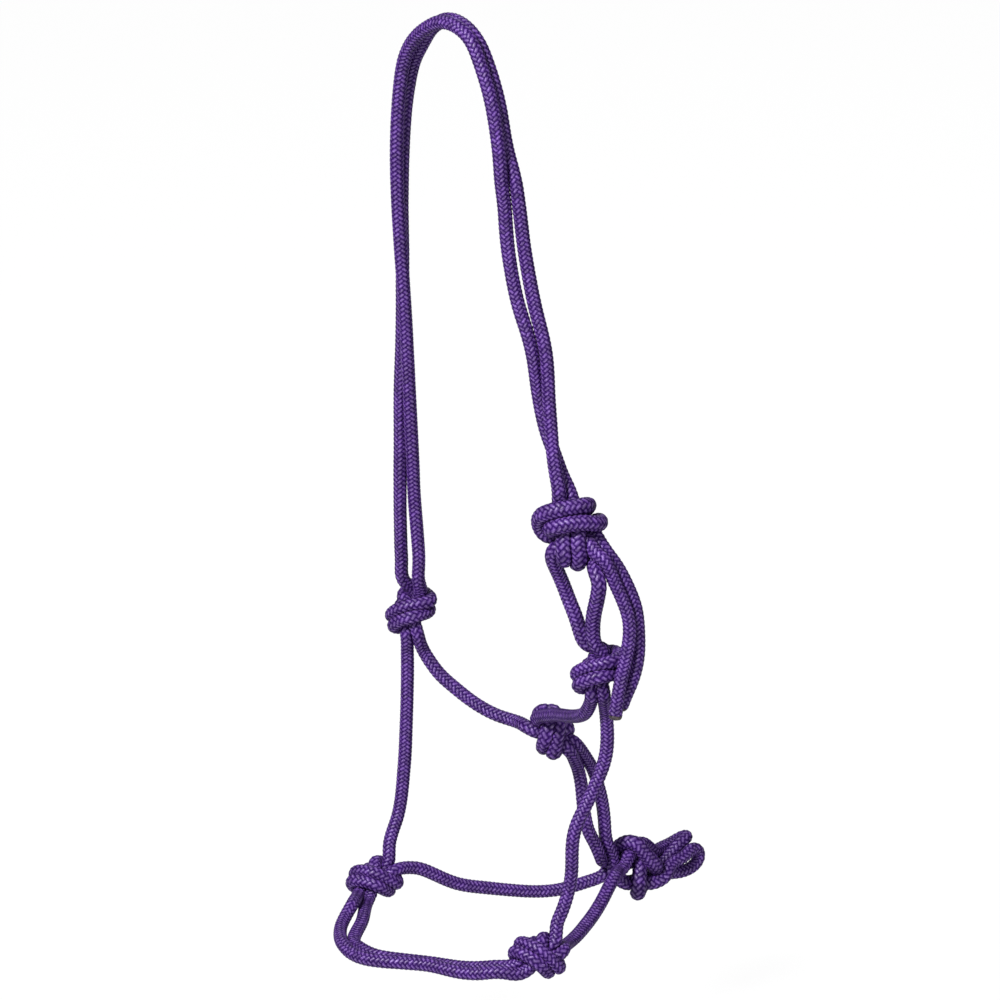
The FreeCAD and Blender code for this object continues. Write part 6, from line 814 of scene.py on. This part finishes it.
# GAP and MID are painted shade in the grooves between picks; CREST is a painted highlight on the pick tops
GAP_SHADE_COLOUR = (12, 2, 28)
MID_SHADE_COLOUR = (43, 18, 82)
PICK_COLOUR = (68, 36, 109)
CREST_HIGHLIGHT_COLOUR = (108, 74, 150)
# painted highlight colour for the pale streaks on the pick crests
PALE_HIGHLIGHT_COLOUR = (186, 160, 214)

cord = cord_material()
melted_mat = melted_material()

for name, a, b, replaced, how in PIECES:
    if "melted" in how:
        ob = tube(name, a, b, melted=how["melted"])
        ob.data.materials.append(melted_mat)
    else:
        ob = tube(name, a, b)
        ob.data.materials.append(cord)
    if "join" in how:
        others = [tube(name + "_part", *r) for r in how["join"]]
        for o in others:
            o.data.materials.append(cord)
        bpy.ops.object.select_all(action="DESELECT")
        parts = [ob] + others
        cell = 1.0 / len(parts)
        for q, o in enumerate(parts):
            layer = o.data.uv_layers["OFBake"].data
            buf = np.zeros(len(layer) * 2, np.float32)
            layer.foreach_get("uv", buf)
            buf = buf.reshape(-1, 2)
            buf[:, 1] = (buf[:, 1] + q) * cell
            layer.foreach_set("uv", buf.ravel())
            o.select_set(True)
        bpy.context.view_layer.objects.active = ob
        bpy.ops.object.join()
    if "body" in how:
        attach(ob, how["body"])
    if "blend" in how:
        p, q, st, en = how["blend"]
        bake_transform(ob)
    if replaced:
        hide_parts(*replaced)

# ------------------------------------------------------------------ the stage
bpy.ops.mesh.primitive_plane_add(size=14.0, location=(0, 0, FLOOR_Z := -0.13))
floor = bpy.context.object
floor.name = "stage_floor"
fm = bpy.data.materials.new("stage_floor")
fm.use_nodes = True
fb = fm.node_tree.nodes["Principled BSDF"]
fb.inputs["Base Color"].default_value = (0.60, 0.60, 0.60, 1)
fb.inputs["Roughness"].default_value = 0.9
# the camera sees a bright sweep, the halter still gets the floor's own light
glow = fm.node_tree.nodes.new("ShaderNodeEmission")
glow.inputs["Color"].default_value = (1, 1, 1, 1)
glow.inputs["Strength"].default_value = 1.08
ray = fm.node_tree.nodes.new("ShaderNodeLightPath")
part = fm.node_tree.nodes.new("ShaderNodeMath")
part.operation = "MULTIPLY"
part.inputs[1].default_value = 0.88
blendn = fm.node_tree.nodes.new("ShaderNodeMixShader")
fl_ = fm.node_tree.links.new
fl_(ray.outputs["Is Camera Ray"], part.inputs[0])
fl_(part.outputs[0], blendn.inputs[0])
fl_(fb.outputs[0], blendn.inputs[1])
fl_(glow.outputs[0], blendn.inputs[2])
fl_(blendn.outputs[0], fm.node_tree.nodes["Material Output"].inputs[0])
floor.data.materials.append(fm)


def area(name, loc, target, size, power, colour=(1, 1, 1)):
    li = bpy.data.lights.new(name, "AREA")
    li.shape = "DISK"
    li.size = size
    li.energy = power
    li.color = colour
    ob = bpy.data.objects.new(name, li)
    bpy.context.scene.collection.objects.link(ob)
    ob.location = loc
    d = Vector(target) - Vector(loc)
    ob.rotation_euler = d.to_track_quat("-Z", "Y").to_euler()
    return ob


mid_pt = (0, 0.05, 0.25)
area("key", (0.6, -2.2, 2.4), mid_pt, 0.8, 128)
area("fill", (2.6, 0.4, 1.2), mid_pt, 2.0, 14)
area("back", (-1.6, 1.8, 2.0), mid_pt, 1.6, 16)
world = bpy.data.worlds.new("studio")
bpy.context.scene.world = world
world.use_nodes = True
world.node_tree.nodes["Background"].inputs[0].default_value = (0.96, 0.97, 1.0, 1)
world.node_tree.nodes["Background"].inputs[1].default_value = 0.19

cam_data = bpy.data.cameras.new("camera")
cam = bpy.data.objects.new("camera", cam_data)
bpy.context.scene.collection.objects.link(cam)
cam_data.sensor_width = 36.0
cam_data.lens = 180.0
look = Vector((0.7243, -0.6078, 0.3256)).normalized()
aim = Vector((-0.04535, 0.07252, 0.23629))
cam.location = aim + look * 3.0
cam.rotation_euler = (-look).to_track_quat("-Z", "Y").to_euler()
bpy.context.scene.camera = cam
bpy.context.scene.view_settings.view_transform = "Standard"

bpy.context.view_layer.update()
